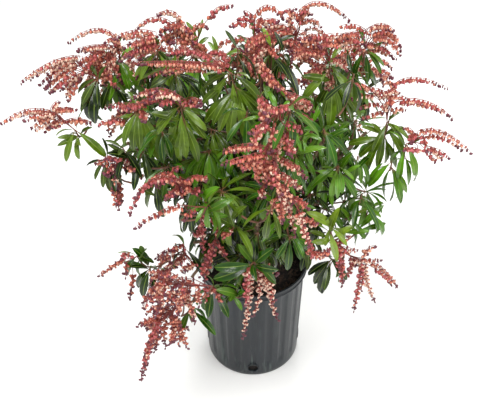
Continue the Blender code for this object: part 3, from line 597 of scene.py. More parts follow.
def node(tree, kind, feeds=None, **settings):
    """Adds a node. feeds gives its inputs by name or number, as plain values or as sockets to link."""
    made = tree.nodes.new(kind)
    for key, value in settings.items():
        setattr(made, key, value)
    for key, value in (feeds or {}).items():
        socket = made.inputs[key]
        if isinstance(value, bpy.types.NodeSocket):
            tree.links.new(value, socket)
        else:
            socket.default_value = value
    return made


def maths(tree, operation, *values):
    return node(tree, "ShaderNodeMath", dict(enumerate(values)), operation=operation).outputs[0]


def ramped(tree, value, low, high, to_low=0.0, to_high=1.0):
    """The value, taken smoothly from low..high to to_low..to_high."""
    feeds = {"Value": value, "From Min": low, "From Max": high, "To Min": to_low, "To Max": to_high}
    return node(tree, "ShaderNodeMapRange", feeds, interpolation_type="SMOOTHSTEP").outputs["Result"]


def cloudy(tree, place, scale, detail):
    feeds = {"Vector": place, "Scale": scale, "Detail": detail}
    return node(tree, "ShaderNodeTexNoise", feeds).outputs["Fac"]


def scaled(tree, vector, share):
    return node(tree, "ShaderNodeVectorMath", {0: vector, "Scale": share}, operation="SCALE").outputs["Vector"]


def stretched(tree, vector, by):
    return node(tree, "ShaderNodeVectorMath", {0: vector, 1: by}, operation="MULTIPLY").outputs["Vector"]


def mixed(tree, share, first, second):
    """Colour first blended into colour second by share."""
    made = node(tree, "ShaderNodeMix", data_type="RGBA")
    for socket, value in zip((made.inputs[0], made.inputs[6], made.inputs[7]), (share, first, second)):
        if isinstance(value, bpy.types.NodeSocket):
            tree.links.new(value, socket)
        else:
            socket.default_value = value if isinstance(value, float) else (*value[:3], 1.0)
    return made.outputs[2]


def shader_group(name, inputs, outputs):
    """An empty shader group with its sockets. Returns the group, what it takes in and what it gives out."""
    group = bpy.data.node_groups.new(name, "ShaderNodeTree")
    for label, kind, value in inputs:
        made = group.interface.new_socket(label, in_out="INPUT", socket_type="NodeSocket" + kind)
        if value is not None:
            made.default_value = value
    for label, kind in outputs:
        group.interface.new_socket(label, in_out="OUTPUT", socket_type="NodeSocket" + kind)
    return group, group.nodes.new("NodeGroupInput").outputs, group.nodes.new("NodeGroupOutput").inputs


def blotches_group():
    """Soft uneven colour: two shades of one base, mixed by noise at a given scale."""
    sockets = (
        ("Base", "Color", None), ("Scale", "Float", 40.0), ("Darkest", "Float", 0.7), ("Lightest", "Float", 1.2),
    )
    group, feeds, out = shader_group("Blotches", sockets, (("Colour", "Color"), ("Mask", "Float")))
    where = node(group, "ShaderNodeTexCoord").outputs["Object"]
    mask = ramped(group, cloudy(group, where, feeds["Scale"], 3.0), 0.30, 0.70)
    limits = {"Value": mask, "To Min": feeds["Darkest"], "To Max": feeds["Lightest"]}
    shade = node(group, "ShaderNodeMapRange", limits).outputs["Result"]
    group.links.new(scaled(group, feeds["Base"], shade), out["Colour"])
    group.links.new(mask, out["Mask"])
    return group


def relief_group():
    """Fine surface relief: two sizes of noise, drawn out along Z by the stretch."""
    sockets = (("Scale", "Float", 200.0), ("Stretch", "Float", 1.0), ("Fine share", "Float", 0.4))
    group, feeds, out = shader_group("Relief", sockets, (("Height", "Float"),))
    where = node(group, "ShaderNodeTexCoord").outputs["Object"]
    narrow = maths(group, "DIVIDE", 1.0, feeds["Stretch"])
    drawn = node(group, "ShaderNodeCombineXYZ", {"X": 1.0, "Y": 1.0, "Z": narrow}).outputs["Vector"]
    place = stretched(group, where, drawn)
    coarse = cloudy(group, place, feeds["Scale"], 2.0)
    fine = cloudy(group, place, maths(group, "MULTIPLY", feeds["Scale"], FINER), 2.0)
    group.links.new(maths(group, "MULTIPLY_ADD", fine, feeds["Fine share"], coarse), out["Height"])
    return group


def use_group(tree, name, feeds):
    """Places one of the shared shader groups in a material, with its own values."""
    makers = {"Blotches": blotches_group, "Relief": relief_group}
    group = bpy.data.node_groups.get(name) or makers[name]()
    return node(tree, "ShaderNodeGroup", feeds, node_tree=group).outputs


def blotched(tree, tint, scale, darkest, lightest):
    """A colour with soft blotches, as the outputs Colour and Mask."""
    return use_group(
        tree, "Blotches", {"Base": (*tint, 1.0), "Scale": scale, "Darkest": darkest, "Lightest": lightest}
    )


def relief_height(tree, scale, stretch=1.0, fine_share=0.4):
    feeds = {"Scale": scale, "Stretch": stretch, "Fine share": fine_share}
    return use_group(tree, "Relief", feeds)["Height"]


def bumped(tree, height, distance, strength=1.0):
    feeds = {"Height": height, "Distance": distance, "Strength": strength}
    return node(tree, "ShaderNodeBump", feeds).outputs["Normal"]


def new_material(name, **uniform):
    """An empty material with a Principled shader. uniform gives plain values of its sockets, by name."""
    made = bpy.data.materials.new(name)
    made.use_nodes = True
    tree = made.node_tree
    tree.nodes.clear()
    surface = node(tree, "ShaderNodeBsdfPrincipled", {key.replace("_", " "): v for key, v in uniform.items()})
    out = node(tree, "ShaderNodeOutputMaterial")
    tree.links.new(surface.outputs["BSDF"], out.inputs["Surface"])
    made.diffuse_color = (0.5, 0.5, 0.5, 1.0)
    return made, tree, surface


def finish_surface(tree, surface, colour, roughness, normal):
    for label, value in (("Base Color", colour), ("Roughness", roughness), ("Normal", normal)):
        tree.links.new(value, surface.inputs[label])


# --------------------------------------------------------------------- materials

SIDE_VEINS = 13


def leaf_material(name, tint, rib, stalk):
    """A glossy leaf in its own tone of uneven green: light midrib, yellower margins, reddish stalk, faint veins."""
    made, tree, surface = new_material(name, Coat_Weight=0.42, Coat_Roughness=0.20, Specular_IOR_Level=0.22)
    place = node(tree, "ShaderNodeUVMap", uv_map="UVMap").outputs["UV"]
    parts = node(tree, "ShaderNodeSeparateXYZ", {"Vector": place}).outputs
    across = maths(tree, "ABSOLUTE", maths(tree, "SUBTRACT", parts["X"], 0.5))
    base = blotched(tree, tint, 34.0, 0.52, 1.40)
    yellow = tuple(a * 0.5 + b * 0.5 for a, b in zip(tint, rib))
    tone = node(tree, "ShaderNodeAttribute", attribute_name="own_tone").outputs["Fac"]
    colour = mixed(tree, ramped(tree, tone, 0.5, 1.0, 0.0, 0.45), base["Colour"], yellow)
    colour = mixed(tree, ramped(tree, tone, 0.5, 0.0, 0.0, 0.60), colour, tuple(a * 0.35 for a in tint))
    colour = mixed(tree, ramped(tree, across, 0.36, 0.52, 0.0, 0.40), colour, yellow)
    colour = mixed(tree, ramped(tree, across, 0.075, 0.0, 0.0, 0.7), colour, rib)
    colour = mixed(tree, ramped(tree, parts["Y"], 0.20, 0.05, 0.0, 0.9), colour, stalk)
    slant = maths(tree, "MULTIPLY_ADD", across, -0.28, parts["Y"])
    veins = maths(tree, "SINE", maths(tree, "MULTIPLY", slant, math.tau * SIDE_VEINS))
    crease = ramped(tree, across, 0.0, 0.10)
    height = maths(tree, "MULTIPLY_ADD", veins, 0.10, crease)
    height = maths(tree, "MULTIPLY_ADD", relief_height(tree, 260.0, fine_share=0.3), 0.5, height)
    roughness = ramped(tree, base["Mask"], 0.0, 1.0, 0.26, 0.38)
    finish_surface(tree, surface, colour, roughness, bumped(tree, height, 0.0006, 0.7))
    return made


def plain_material(name, tint, scale, roughness, shades=(0.75, 1.2), relief=(300.0, 1.0), depth=0.0003, **uniform):
    """A surface in one colour with blotches and fine relief, used where no pattern follows the surface."""
    made, tree, surface = new_material(name, **uniform)
    base = blotched(tree, tint, scale, *shades)
    normal = bumped(tree, relief_height(tree, *relief), depth, 0.8)
    finish_surface(tree, surface, base["Colour"], ramped(tree, base["Mask"], 0.0, 1.0, *roughness), normal)
    return made


def bark_material(name, tint, furrow_shade):
    """Grey-brown bark whose furrows, which run along the limb, are darkened with painted shade."""
    made, tree, surface = new_material(name, Specular_IOR_Level=0.3)
    base = blotched(tree, tint, 90.0, 0.7, 1.35)
    height = relief_height(tree, 210.0, 5.0, 0.5)
    # The low parts of the relief take the darker colour: painted shade in the furrows.
    colour = mixed(tree, ramped(tree, height, 0.72, 0.50), base["Colour"], furrow_shade)
    roughness = ramped(tree, height, 0.4, 0.9, 0.95, 0.7)
    finish_surface(tree, surface, colour, roughness, bumped(tree, height, 0.0016))
    return made


def plastic_material(name, tint, scuff):
    """Charcoal plastic with a soft gloss, and with upright scuffs and pale specks of dust, most of them low down."""
    made, tree, surface = new_material(name, Specular_IOR_Level=0.4)
    base = blotched(tree, tint, 9.0, 0.82, 1.2)
    streaks = relief_height(tree, 95.0, 14.0, 0.5)
    specks = relief_height(tree, 420.0, fine_share=0.6)
    where = node(tree, "ShaderNodeTexCoord").outputs["Object"]
    height = node(tree, "ShaderNodeSeparateXYZ", {"Vector": where}).outputs["Z"]
    low = ramped(tree, height, 0.14, 0.01, 0.25, 1.0)
    dust = maths(tree, "MULTIPLY", ramped(tree, streaks, 0.78, 1.0), low)
    dust = maths(tree, "MULTIPLY", dust, 0.55)
    colour = mixed(tree, dust, base["Colour"], scuff)
    marks = maths(tree, "MULTIPLY", ramped(tree, specks, 1.02, 1.12), 0.5)
    colour = mixed(tree, maths(tree, "MULTIPLY", marks, low), colour, scuff)
    roughness = ramped(tree, streaks, 0.4, 1.0, 0.26, 0.42)
    finish_surface(tree, surface, colour, roughness, bumped(tree, specks, 0.00025, 0.6))
    return made


# ------------------------------------------------------------------ mesh helpers

RIDGE_STRETCH = (1.0, 1.0, 0.22)
RIDGE_SCALE = 150.0
TONE_SEED = 3


def new_object(name, data):
    made = bpy.data.objects.new(name, data)
    bpy.context.scene.collection.objects.link(made)
    return made


def mesh_of(name, points, faces):
    made = bpy.data.meshes.new(name)
    made.from_pydata([tuple(p) for p in points], [], faces)
    made.update()
    return made


def mark_on(mesh, name, domain, flags):
    """Stores one yes or no for each point or face of a mesh."""
    mark = mesh.attributes.new(name, "BOOLEAN", domain)
    for i, flag in enumerate(flags):
        mark.data[i].value = flag


def geometry_tree(name, inputs):
    """A Geometry Nodes tree with a geometry input and output and one named input for each entry."""
    tree = bpy.data.node_groups.new(name, "GeometryNodeTree")
    tree.interface.new_socket("Geometry", in_out="INPUT", socket_type="NodeSocketGeometry")
    for label, kind in inputs:
        tree.interface.new_socket(label, in_out="INPUT", socket_type="NodeSocket" + kind)
    tree.interface.new_socket("Geometry", in_out="OUTPUT", socket_type="NodeSocketGeometry")
    return tree, tree.nodes.new("NodeGroupInput").outputs


def dressed(tree, geometry, material, selection=True):
    feeds = {"Geometry": geometry, "Selection": selection, "Material": material}
    return node(tree, "GeometryNodeSetMaterial", feeds).outputs["Geometry"]


def realized(tree, geometry):
    return node(tree, "GeometryNodeRealizeInstances", {"Geometry": geometry}).outputs["Geometry"]


def end_tree(tree, geometry):
    out = tree.nodes.new("NodeGroupOutput")
    tree.links.new(geometry, out.inputs["Geometry"])


def named(tree, label, kind):
    """A named attribute of the geometry, from the one output that fits its kind."""
    made = node(tree, "GeometryNodeInputNamedAttribute", {"Name": label}, data_type=kind)
    return next(socket for socket in made.outputs if socket.enabled and socket.name == "Attribute")


def grown(source, tree, values, name):
    """The plain mesh object that the tree makes of source, which is removed with its modifier."""
    modifier = source.modifiers.new("Growth", "NODES")
    modifier.node_group = tree
    for item in tree.interface.items_tree:
        if item.item_type == "SOCKET" and item.in_out == "INPUT" and item.name in values:
            modifier[item.identifier] = values[item.name]
    graph = bpy.context.evaluated_depsgraph_get()
    mesh = bpy.data.meshes.new_from_object(
        source.evaluated_get(graph), preserve_all_data_layers=True, depsgraph=graph
    )
    source.modifiers.remove(modifier)
    bpy.data.objects.remove(source)
    mesh.name = name
    if mesh.materials and mesh.materials[0] is None:
        mesh.materials.pop(index=0)
    return new_object(name, mesh)


def claim(piece, nodes):
    """Attaches a finished piece to the root body and hides the solids it stands for."""
    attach(piece, "root")
    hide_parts(*nodes)


def tubes(name, lines, sides, material, relief=0.0):
    """One mesh of round tubes along lines of (point, radius), with ridges of the relief's height."""
    curve = bpy.data.curves.new(name, "CURVE")
    curve.dimensions = "3D"
    for line in lines:
        spline = curve.splines.new("POLY")
        spline.points.add(len(line) - 1)
        for point, (place, radius) in zip(spline.points, line):
            point.co = (*place, 1.0)
            point.radius = radius
    tree = bpy.data.node_groups.get("Tubes") or tube_tree()
    values = {"Sides": sides, "Relief": relief, "Material": material}
    return grown(new_object(name, curve), tree, values, name)


def tube_tree():
    """Sweeps a circle along each curve, at the curve's own radius, and lifts ridges on the surface."""
    tree, feeds = geometry_tree("Tubes", (("Sides", "Int"), ("Relief", "Float"), ("Material", "Material")))
    ring = node(tree, "GeometryNodeCurvePrimitiveCircle", {"Resolution": feeds["Sides"], "Radius": 1.0})
    radius = node(tree, "GeometryNodeInputRadius").outputs["Radius"]
    swept = {"Curve": feeds["Geometry"], "Profile Curve": ring.outputs["Curve"], "Scale": radius, "Fill Caps": True}
    sweep = node(tree, "GeometryNodeCurveToMesh", swept)
    place = node(tree, "GeometryNodeInputPosition").outputs["Position"]
    ridges = cloudy(tree, stretched(tree, place, RIDGE_STRETCH), RIDGE_SCALE, 2.0)
    lift = maths(tree, "MULTIPLY", maths(tree, "SUBTRACT", ridges, 0.5), feeds["Relief"])
    way = node(tree, "GeometryNodeInputNormal").outputs["Normal"]
    shift = {"Geometry": sweep.outputs["Mesh"], "Offset": scaled(tree, way, lift)}
    moved = node(tree, "GeometryNodeSetPosition", shift).outputs["Geometry"]
    smooth = node(tree, "GeometryNodeSetShadeSmooth", {"Geometry": moved}).outputs["Geometry"]
    end_tree(tree, dressed(tree, realized(tree, smooth), feeds["Material"]))
    return tree


def scatter_tree(kinds):
    """Puts one of the kinds of shape at each point, turned and sized by the point's own attributes. Faces that the
    shape marks as its second part take the second material."""
    label = f"Scatter {kinds}"
    if label in bpy.data.node_groups:
        return bpy.data.node_groups[label]
    shapes = [(f"Shape {i + 1}", "Object") for i in range(kinds)]
    others = [("Width", "Float"), ("Length", "Float"), ("Material", "Material"), ("Second material", "Material")]
    tree, feeds = geometry_tree(label, shapes + others)
    gather = tree.nodes.new("GeometryNodeGeometryToInstance")
    for shape, _ in reversed(shapes):
        info = node(tree, "GeometryNodeObjectInfo", {"Object": feeds[shape]})
        tree.links.new(info.outputs["Geometry"], gather.inputs["Geometry"])
    full = {"X": feeds["Width"], "Y": feeds["Length"], "Z": feeds["Length"]}
    size = node(tree, "ShaderNodeCombineXYZ", full).outputs["Vector"]
    placed = node(
        tree,
        "GeometryNodeInstanceOnPoints",
        {
            "Points": feeds["Geometry"],
            "Instance": gather.outputs["Instances"],
            "Pick Instance": True,
            "Instance Index": named(tree, "kind", "INT"),
            "Rotation": named(tree, "turn", "FLOAT_VECTOR"),
            "Scale": stretched(tree, size, named(tree, "size", "FLOAT_VECTOR")),
        },
    ).outputs["Instances"]
    limits = {2: 0.0, 3: 1.0, "Seed": TONE_SEED}
    chosen = node(tree, "FunctionNodeRandomValue", limits, data_type="FLOAT").outputs[1]
    stored = {"Geometry": placed, "Name": "own_tone", "Value": chosen}
    toned = node(tree, "GeometryNodeStoreNamedAttribute", stored, data_type="FLOAT", domain="INSTANCE")
    first = dressed(tree, realized(tree, toned.outputs["Geometry"]), feeds["Material"])
    end_tree(tree, dressed(tree, first, feeds["Second material"], named(tree, "second_part", "BOOLEAN")))
    return tree


def scattered(name, spots, shapes, width, length, first, second):
    """One mesh of the shapes, put at spots of (place, turn, size, kind)."""
    points = mesh_of(name, [s[0] for s in spots], [])
    for label, kind in (("turn", "FLOAT_VECTOR"), ("size", "FLOAT_VECTOR"), ("kind", "INT")):
        points.attributes.new(label, kind, "POINT")
    turns, sizes, kinds = (points.attributes[label].data for label in ("turn", "size", "kind"))
    for i, (_, turn, size, kind) in enumerate(spots):
        turns[i].vector = turn
        sizes[i].vector = size
        kinds[i].value = kind
    values = {"Width": width, "Length": length, "Material": first, "Second material": second}
    values.update({f"Shape {i + 1}": shape for i, shape in enumerate(shapes)})
    return grown(new_object(name, points), scatter_tree(len(shapes)), values, name)


# --------------------------------------------------------------- how it branches


def trunk_point(share):
    height = share * TRUNK_PROFILE[-1][0]
    for (low, wide), (high, narrow) in zip(TRUNK_PROFILE, TRUNK_PROFILE[1:]):
        if height <= high:
            radius = wide + (narrow - wide) * (height - low) / (high - low)
            break
    return TRUNK_LEAN * share * share + UP * (SOIL_TOP + CLEAR + height), radius


def heart_of(bough):
    angle = math.radians(bough.azimuth)
    return Vector((bough.reach * math.cos(angle), bough.reach * math.sin(angle), bough.height))


def outward_of(bough):
    away = (heart_of(bough) - CROWN_CENTRE).normalized()
    return (away + UP * (OUTWARD_LIFT - OUTWARD_SAG * bough.hang)).normalized()


def graded(first, last, count, power=1.0):
    """So many values from first to last, evenly spaced or by a power."""
    return [first + (last - first) * (i / (count - 1)) ** power for i in range(count)]


def bent(start, middle, end, count):
    shares = graded(0.0, 1.0, count)
    return [start * (1 - s) ** 2 + middle * 2 * s * (1 - s) + end * s * s for s in shares]


def sideways(axis, turn):
    """A direction square to an axis, turned about it."""
    return Matrix.Rotation(turn, 3, axis) @ axis.orthogonal().normalized()


def length_of(points):
    return sum((b - a).length for a, b in zip(points, points[1:]))


def along(points, share):
    """The point and the heading at a share of the way along a line of points."""
    place = min(share, NEARLY_ALL) * (len(points) - 1)
    low = int(place)
    return points[low].lerp(points[low + 1], place - low), (points[low + 1] - points[low]).normalized()


def limb_lines():
    """Each bough's centreline with its radii, parents first."""
    lines = {}
    waiting = list(BOUGHS)
    while waiting:
        name = next(n for n in waiting if BOUGHS[n].parent in ("trunk", *lines))
        waiting.remove(name)
        bough = BOUGHS[name]
        if bough.parent == "trunk":
            start, base = trunk_point(bough.station)[0], BOUGH_BASE_RADIUS
        else:
            start, base = along([p for p, _ in lines[bough.parent]], bough.station)[0], BRANCH_BASE_RADIUS
        tip = heart_of(bough) - outward_of(bough) * STEM_BEHIND
        across = tip - start
        lift = across.length * LIMB_RISE * (1 - abs(across.normalized().z))
        middle = start.lerp(tip, 0.5) + UP * lift
        points = bent(start, middle, tip, LIMB_POINTS)
        lines[name] = list(zip(points, graded(base, LIMB_TIP_RADIUS, LIMB_POINTS, LIMB_TAPER)))
    return lines


def shoots_of(name):
    """The main shoots of a mass, by the solids' rule: its stem, then three that spread from it."""
    bough = BOUGHS[name]
    chance = random.Random(name)
    outward = outward_of(bough)
    start = heart_of(bough) - outward * STEM_BEHIND
    end = heart_of(bough) + outward * STEM_AHEAD
    first_turn = chance.uniform(0, math.tau)
    shoots = [(start, end, outward)]
    for number in range(1, SHOOTS):
        foot = start.lerp(end, FIRST_SHOOT + SHOOT_SPAN * number / SHOOTS)
        side = sideways(outward, first_turn + number * GOLDEN_TURN)
        spread = chance.uniform(*SHOOT_SPREAD)
        way = outward * math.cos(spread) + side * math.sin(spread)
        length = chance.uniform(*SHOOT_LENGTH)
        way = (way + UP * SHOOT_LIFT).normalized()
        shoots.append((foot, foot + way * length, way))
    return shoots


def in_picture(place):
    """Where a point stands in the picture, in its pixels."""
    away = place - CAMERA_PLACE
    sine, cosine = math.sin(CAMERA_TILT), math.cos(CAMERA_TILT)
    depth, rise = away.y * cosine - away.z * sine, away.y * sine + away.z * cosine
    return PICTURE_CENTRE[0] + PICTURE_FOCAL * away.x / depth, PICTURE_CENTRE[1] - PICTURE_FOCAL * rise / depth


def from_picture(spot, y):
    """The point that stands at a spot of the picture, in the upright plane at y."""
    sine, cosine = math.sin(CAMERA_TILT), math.cos(CAMERA_TILT)
    rise = (PICTURE_CENTRE[1] - spot[1]) / PICTURE_FOCAL
    away_y = y - CAMERA_PLACE.y
    away_z = away_y * (rise * cosine - sine) / (cosine + rise * sine)
    depth = away_y * cosine - away_z * sine
    return CAMERA_PLACE + Vector(((spot[0] - PICTURE_CENTRE[0]) / PICTURE_FOCAL * depth, away_y, away_z))


def twig(foot, way, length):
    """A twig's line: it leaves along way and lifts a little towards the light."""
    end = foot + way * length
    middle = foot.lerp(end, TWIG_BEND) - UP * length * TWIG_SAG
    return bent(foot, middle, end, TWIG_POINTS)


def clear_of_can(place, margin):
    return place.z > CAN_HEIGHT + margin or math.hypot(place.x, place.y) > RIM_RADIUS + margin


def twigs_along(parent, chance, count, span, spreads, lengths):
    """Twigs from a line of points, a golden turn apart within its span, as (line, heading)."""
    first_turn = chance.uniform(0, math.tau)
    for number in range(count):
        share = span[0] + (span[1] - span[0]) * (number + chance.random()) / count
        spread, length = chance.uniform(*spreads), chance.uniform(*lengths)
        foot, heading = along(parent, share)
        side = sideways(heading, first_turn + number * GOLDEN_TURN)
        way = (heading * math.cos(spread) + side * math.sin(spread) + UP * TWIG_LIFT).normalized()
        yield twig(foot, way, length), way


def bearing_wood(limbs):
    """Points all along the limbs and main shoots that a twig can leave from."""
    wood = []
    for name in BOUGHS:
        wood += [p for p, _ in limbs[name][WOOD_FROM:]]
        for foot, tip, _ in shoots_of(name):
            wood += [foot.lerp(tip, share) for share in WOOD_SHARES]
    return wood


def borne_twig(name, place, wood):
    """A twig to a place from the wood nearest below it, rising steeply at its end, and the heading of that end."""
    start = min(wood, key=lambda p: (p - place).length + max(0.0, p.z - place.z + STEM_RISE))
    across = place - start
    middle = place - UP * min(STEM_RISE, across.length * STEM_RISE_SHARE) - across * STEM_LAG
    onward, upward, outward = STEM_HEADING
    heading = across.normalized() * onward + UP * upward + outward_of(BOUGHS[name]) * outward
    return bent(start, middle, place, TWIG_POINTS), heading.normalized()


def is_inside(spot, outline):
    """Whether a spot of the picture lies inside a closed outline there."""
    inside = False
    for (x0, y0), (x1, y1) in zip(outline, outline[1:] + outline[:1]):
        if (y0 > spot[1]) != (y1 > spot[1]) and spot[0] < x0 + (x1 - x0) * (spot[1] - y0) / (y1 - y0):
            inside = not inside
    return inside


def hides(tip, spot, y, root, end):
    """Whether a tuft's leaves, which hang about a spot of the picture, cover a spray from root to end there."""
    share = max(0.0, min(1.0, (spot - root).dot(end - root) / (end - root).length_squared))
    return tip.y < y + IN_FRONT and (spot - root.lerp(end, share)).length < SPRAY_BERTH


def tufts():
    """Every leafy twig of the crown, thinned so that the tufts of leaves stand apart."""
    limbs = limb_lines()
    kept, places = [], []

    def offer(name, line, way):
        tip = line[-1]
        across, down = in_picture(tip)
        room = all((tip - other).length > ROSETTE_GAP for other in places)
        if not room or not clear_of_can(tip, CAN_MARGIN) or not is_inside((across, down), LEAFY_OUTLINE):
            return
        if not any(hides(tip, Vector((across, down + LEAF_HANG)), *spray) for spray in shown):
            kept.append(Tuft(name, line, way, FULL_TUFT))
            places.append(tip)

    wood = bearing_wood(limbs)
    shown = []
    for mass, nearer, spot, leaves, droop, tint, tone, fill, sprays in SHOWN:
        y = heart_of(BOUGHS[mass]).y - nearer
        place = from_picture(spot, y)
        line, heading = borne_twig(mass, place, wood)
        kept.append(Tuft(mass, line, heading, leaves, droop, tint, tone, fill, sprays))
        places.append(place)
        shown += [(y, Vector(spray[:2]), Vector(spray[4:])) for spray in sprays]
        if isinstance(leaves, tuple):
            shown += [(y, Vector(spot), Vector(aim)) for aim in leaves]
    for name in BOUGHS:
        for foot, tip, way in shoots_of(name):
            offer(name, twig(foot, way, (tip - foot).length), way)
    for name in BOUGHS:
        chance = random.Random(name + " forks")
        for foot, tip, way in shoots_of(name):
            parent = twig(foot, way, (tip - foot).length)
            for line, heading in twigs_along(parent, chance, FORKS, FORK_STATION, FORK_SPREAD, FORK_LENGTH):
                offer(name, line, heading)
    for name in BOUGHS:
        chance = random.Random(name + " side twigs")
        parent = [p for p, _ in limbs[name]]
        count = max(1, round(length_of(parent) * (SIDE_TWIG_SPAN[1] - SIDE_TWIG_SPAN[0]) / SIDE_TWIG_STEP))
        for line, heading in twigs_along(
            parent, chance, count, SIDE_TWIG_SPAN, SIDE_TWIG_SPREAD, SIDE_TWIG_LENGTH
        ):
            offer(name, line, heading)
    return kept


# ------------------------------------------------------------------------ leaves

# A leaf's half width at shares of its length.
BLADE_STATIONS = (
    (0.0, 0.07), (0.11, 0.10), (0.26, 0.48), (0.44, 0.88), (0.60, 1.0), (0.78, 0.84), (0.92, 0.46), (1.0, 0.0),
)
BLADE_ACROSS = (-1.0, -0.5, 0.0, 0.5, 1.0)
BLADE_THICKNESS = 0.010
BLADE_SWELL = 0.28
BLADE_CURL = 0.35
BLADE_TWIST = 0.08
# How each kind of leaf arches over, folds, twists and rises from its foot.
BLADE_SHAPES = ((0.95, 0.16, 0.12, 0.25), (1.35, 0.22, -0.16, 0.10), (0.60, 0.10, 0.22, 0.35))
# Where each tint of leaf grows, and how likely it is there. The darker tint inside the crown is painted shade; the
# lighter, yellower tint is partly the fresher green of some leaves and partly painted light.
PAINTED_SHADE_WITHIN = 0.19
OLIVE_UNTIL = -0.06
# Leaves right of this x and below this height may take the lighter, yellower tint, partly painted light.
FRESH_AND_LIT_FROM = (0.08, 0.62)
TINTS = ("deep", "mid", "olive", "bright", "young")
TINT_SHARES = {"deep": 0.2, "olive": 0.5, "bright": 0.6, "mid": 0.66}


def blade_spine(arch, rise):
    """The midrib of a leaf of unit length as (place, heading at it) for each station: it rises, then arches over."""
    spine, heading, last, found = Vector((0.0, 0.0, 0.0)), rise, 0.0, []
    for share, _ in BLADE_STATIONS:
        spine = spine + Vector((0.0, math.cos(heading), math.sin(heading))) * (share - last)
        heading, last = rise - arch * share, share
        found.append((spine, heading))
    return found


def blade(name, arch, fold, twist, rise):
    """A leaf of unit length and width, closed, creased along its midrib, arched, and pointed at its tip."""
    points, faces, places, under, rows = [], [], [], [], []
    for (share, half), (spine, heading) in zip(BLADE_STATIONS, blade_spine(arch, rise)):
        lift = Vector((0.0, -math.sin(heading), math.cos(heading)))
        if half == 0.0:
            rows.append([len(points)])
            points.append(spine)
            places.append((0.5, share))
            continue
        row = []
        for across in BLADE_ACROSS:
            swell = fold * half * BLADE_SWELL * (abs(across) - BLADE_CURL * across * across)
            swell += twist * share * across * half * BLADE_TWIST
            row.append(len(points))
            points.append(spine + Vector((across * half * 0.5, 0.0, 0.0)) + lift * swell)
            places.append((0.5 + across * 0.5, share))
        row.append(len(points))
        points.append(spine - lift * BLADE_THICKNESS)
        places.append((0.5, share))
        rows.append(row)
    for low, high in zip(rows, rows[1:]):
        for a in range(6):
            b = (a + 1) % 6
            faces.append((low[a], low[b], high[0]) if len(high) == 1 else (low[a], low[b], high[b], high[a]))
            under.append(a > 3)
    faces.append(tuple(reversed(rows[0])))
    under.append(True)
    mesh = mesh_of(name, points, faces)
    chart = mesh.uv_layers.new(name="UVMap")
    for loop in mesh.loops:
        chart.data[loop.index].uv = places[loop.vertex_index]
    mark_on(mesh, "second_part", "FACE", under)
    mesh.shade_smooth()
    margins = {v for row in rows[:-1] for v in (row[0], row[4])} | {rows[-1][0]}
    for edge in mesh.edges:
        edge.use_edge_sharp = all(v in margins for v in edge.vertices)
    return new_object(name, mesh)


def leaf_turn(way, hint):
    """The Euler turn that lays a leaf's length along way with its upper face towards hint."""
    across = way.cross(hint).normalized()
    top = across.cross(way)
    return Matrix((across, way, top)).transposed().to_euler()


def aimed_leaves(tuft, chance, length):
    """The leaves whose tips the photograph shows, each from the point of the twig that suits the leaf's length."""
    stem = [along(tuft.line, share)[0] for share in STEM_SHARES]
    found = []
    for aim in tuft.leaves:
        target = from_picture(aim, tuft.line[-1].y + chance.uniform(*LEAF_DEPTH))
        foot = min(stem, key=lambda p: abs((target - p).length - length))
        kind = chance.randrange(BLADE_KINDS)
        chord = blade_spine(BLADE_SHAPES[kind][0], BLADE_SHAPES[kind][3])[-1][0]
        way = (target - foot).normalized()
        size = max(AIMED_SIZES[0], min(AIMED_SIZES[1], (target - foot).length / (length * chord.length)))
        bow = way.cross(UP).cross(way).normalized()
        hint = bow * AIMED_BOW - AIMED_FACING + way.cross(UP) * chance.uniform(-AIMED_ROLL, AIMED_ROLL)
        top = way.cross(hint).cross(way).normalized()
        heading = (way * chord.y - top * chord.z).normalized()
        if clear_of_can(target, LEAF_CAN_MARGIN):
            found.append((foot, leaf_turn(heading, top), size, kind, False))
    return found


def leaves_of(tuft, chance):
    """The leaves of one tuft as (place, turn, size, kind, young): older ones spread and droop, young ones stand."""
    if isinstance(tuft.leaves, tuple):
        count = EXTRA_LEAVES
    else:
        count = tuft.leaves + chance.randint(-TUFT_RANGE, TUFT_RANGE) if tuft.leaves else 0
    tip, way = tuft.line[-1], tuft.way
    first = chance.uniform(0, math.tau)
    weight = chance.uniform(*TUFT_DROOP) if tuft.droop is None else tuft.droop
    found = []
    for number in range(count):
        young = number >= count - YOUNG_LEAVES
        around = sideways(way, first + number * GOLDEN_TURN)
        angle = chance.uniform(*(YOUNG_ANGLE if young else OLD_ANGLE))
        droop = chance.uniform(*(YOUNG_DROOP if young else OLD_DROOP)) + weight * (YOUNG_WEIGHT if young else 1.0)
        size = chance.uniform(*LEAF_SIZES) * (YOUNG_SIZE if young else 1.0)
        roll = chance.uniform(-LEAF_ROLL, LEAF_ROLL)
        kind = chance.randrange(BLADE_KINDS)
        foot = tip - way * LEAF_ZONE * (1 - number / count)
        for lift in RIM_LIFTS:
            heading = (way * math.cos(angle) + around * math.sin(angle) - UP * (droop - lift)).normalized()
            reach = [foot + heading * LEAF_REACH * size * s - UP * LEAF_SAG * s * s for s in (0.5, 1.0)]
            if all(clear_of_can(p, LEAF_CAN_MARGIN) for p in reach):
                break
        else:
            continue
        upward, outward, onward = LEAF_FACING
        hint = UP * upward + around * outward + way * onward + heading.cross(UP) * roll
        found.append((foot, leaf_turn(heading, hint), size, kind, young))
    return found


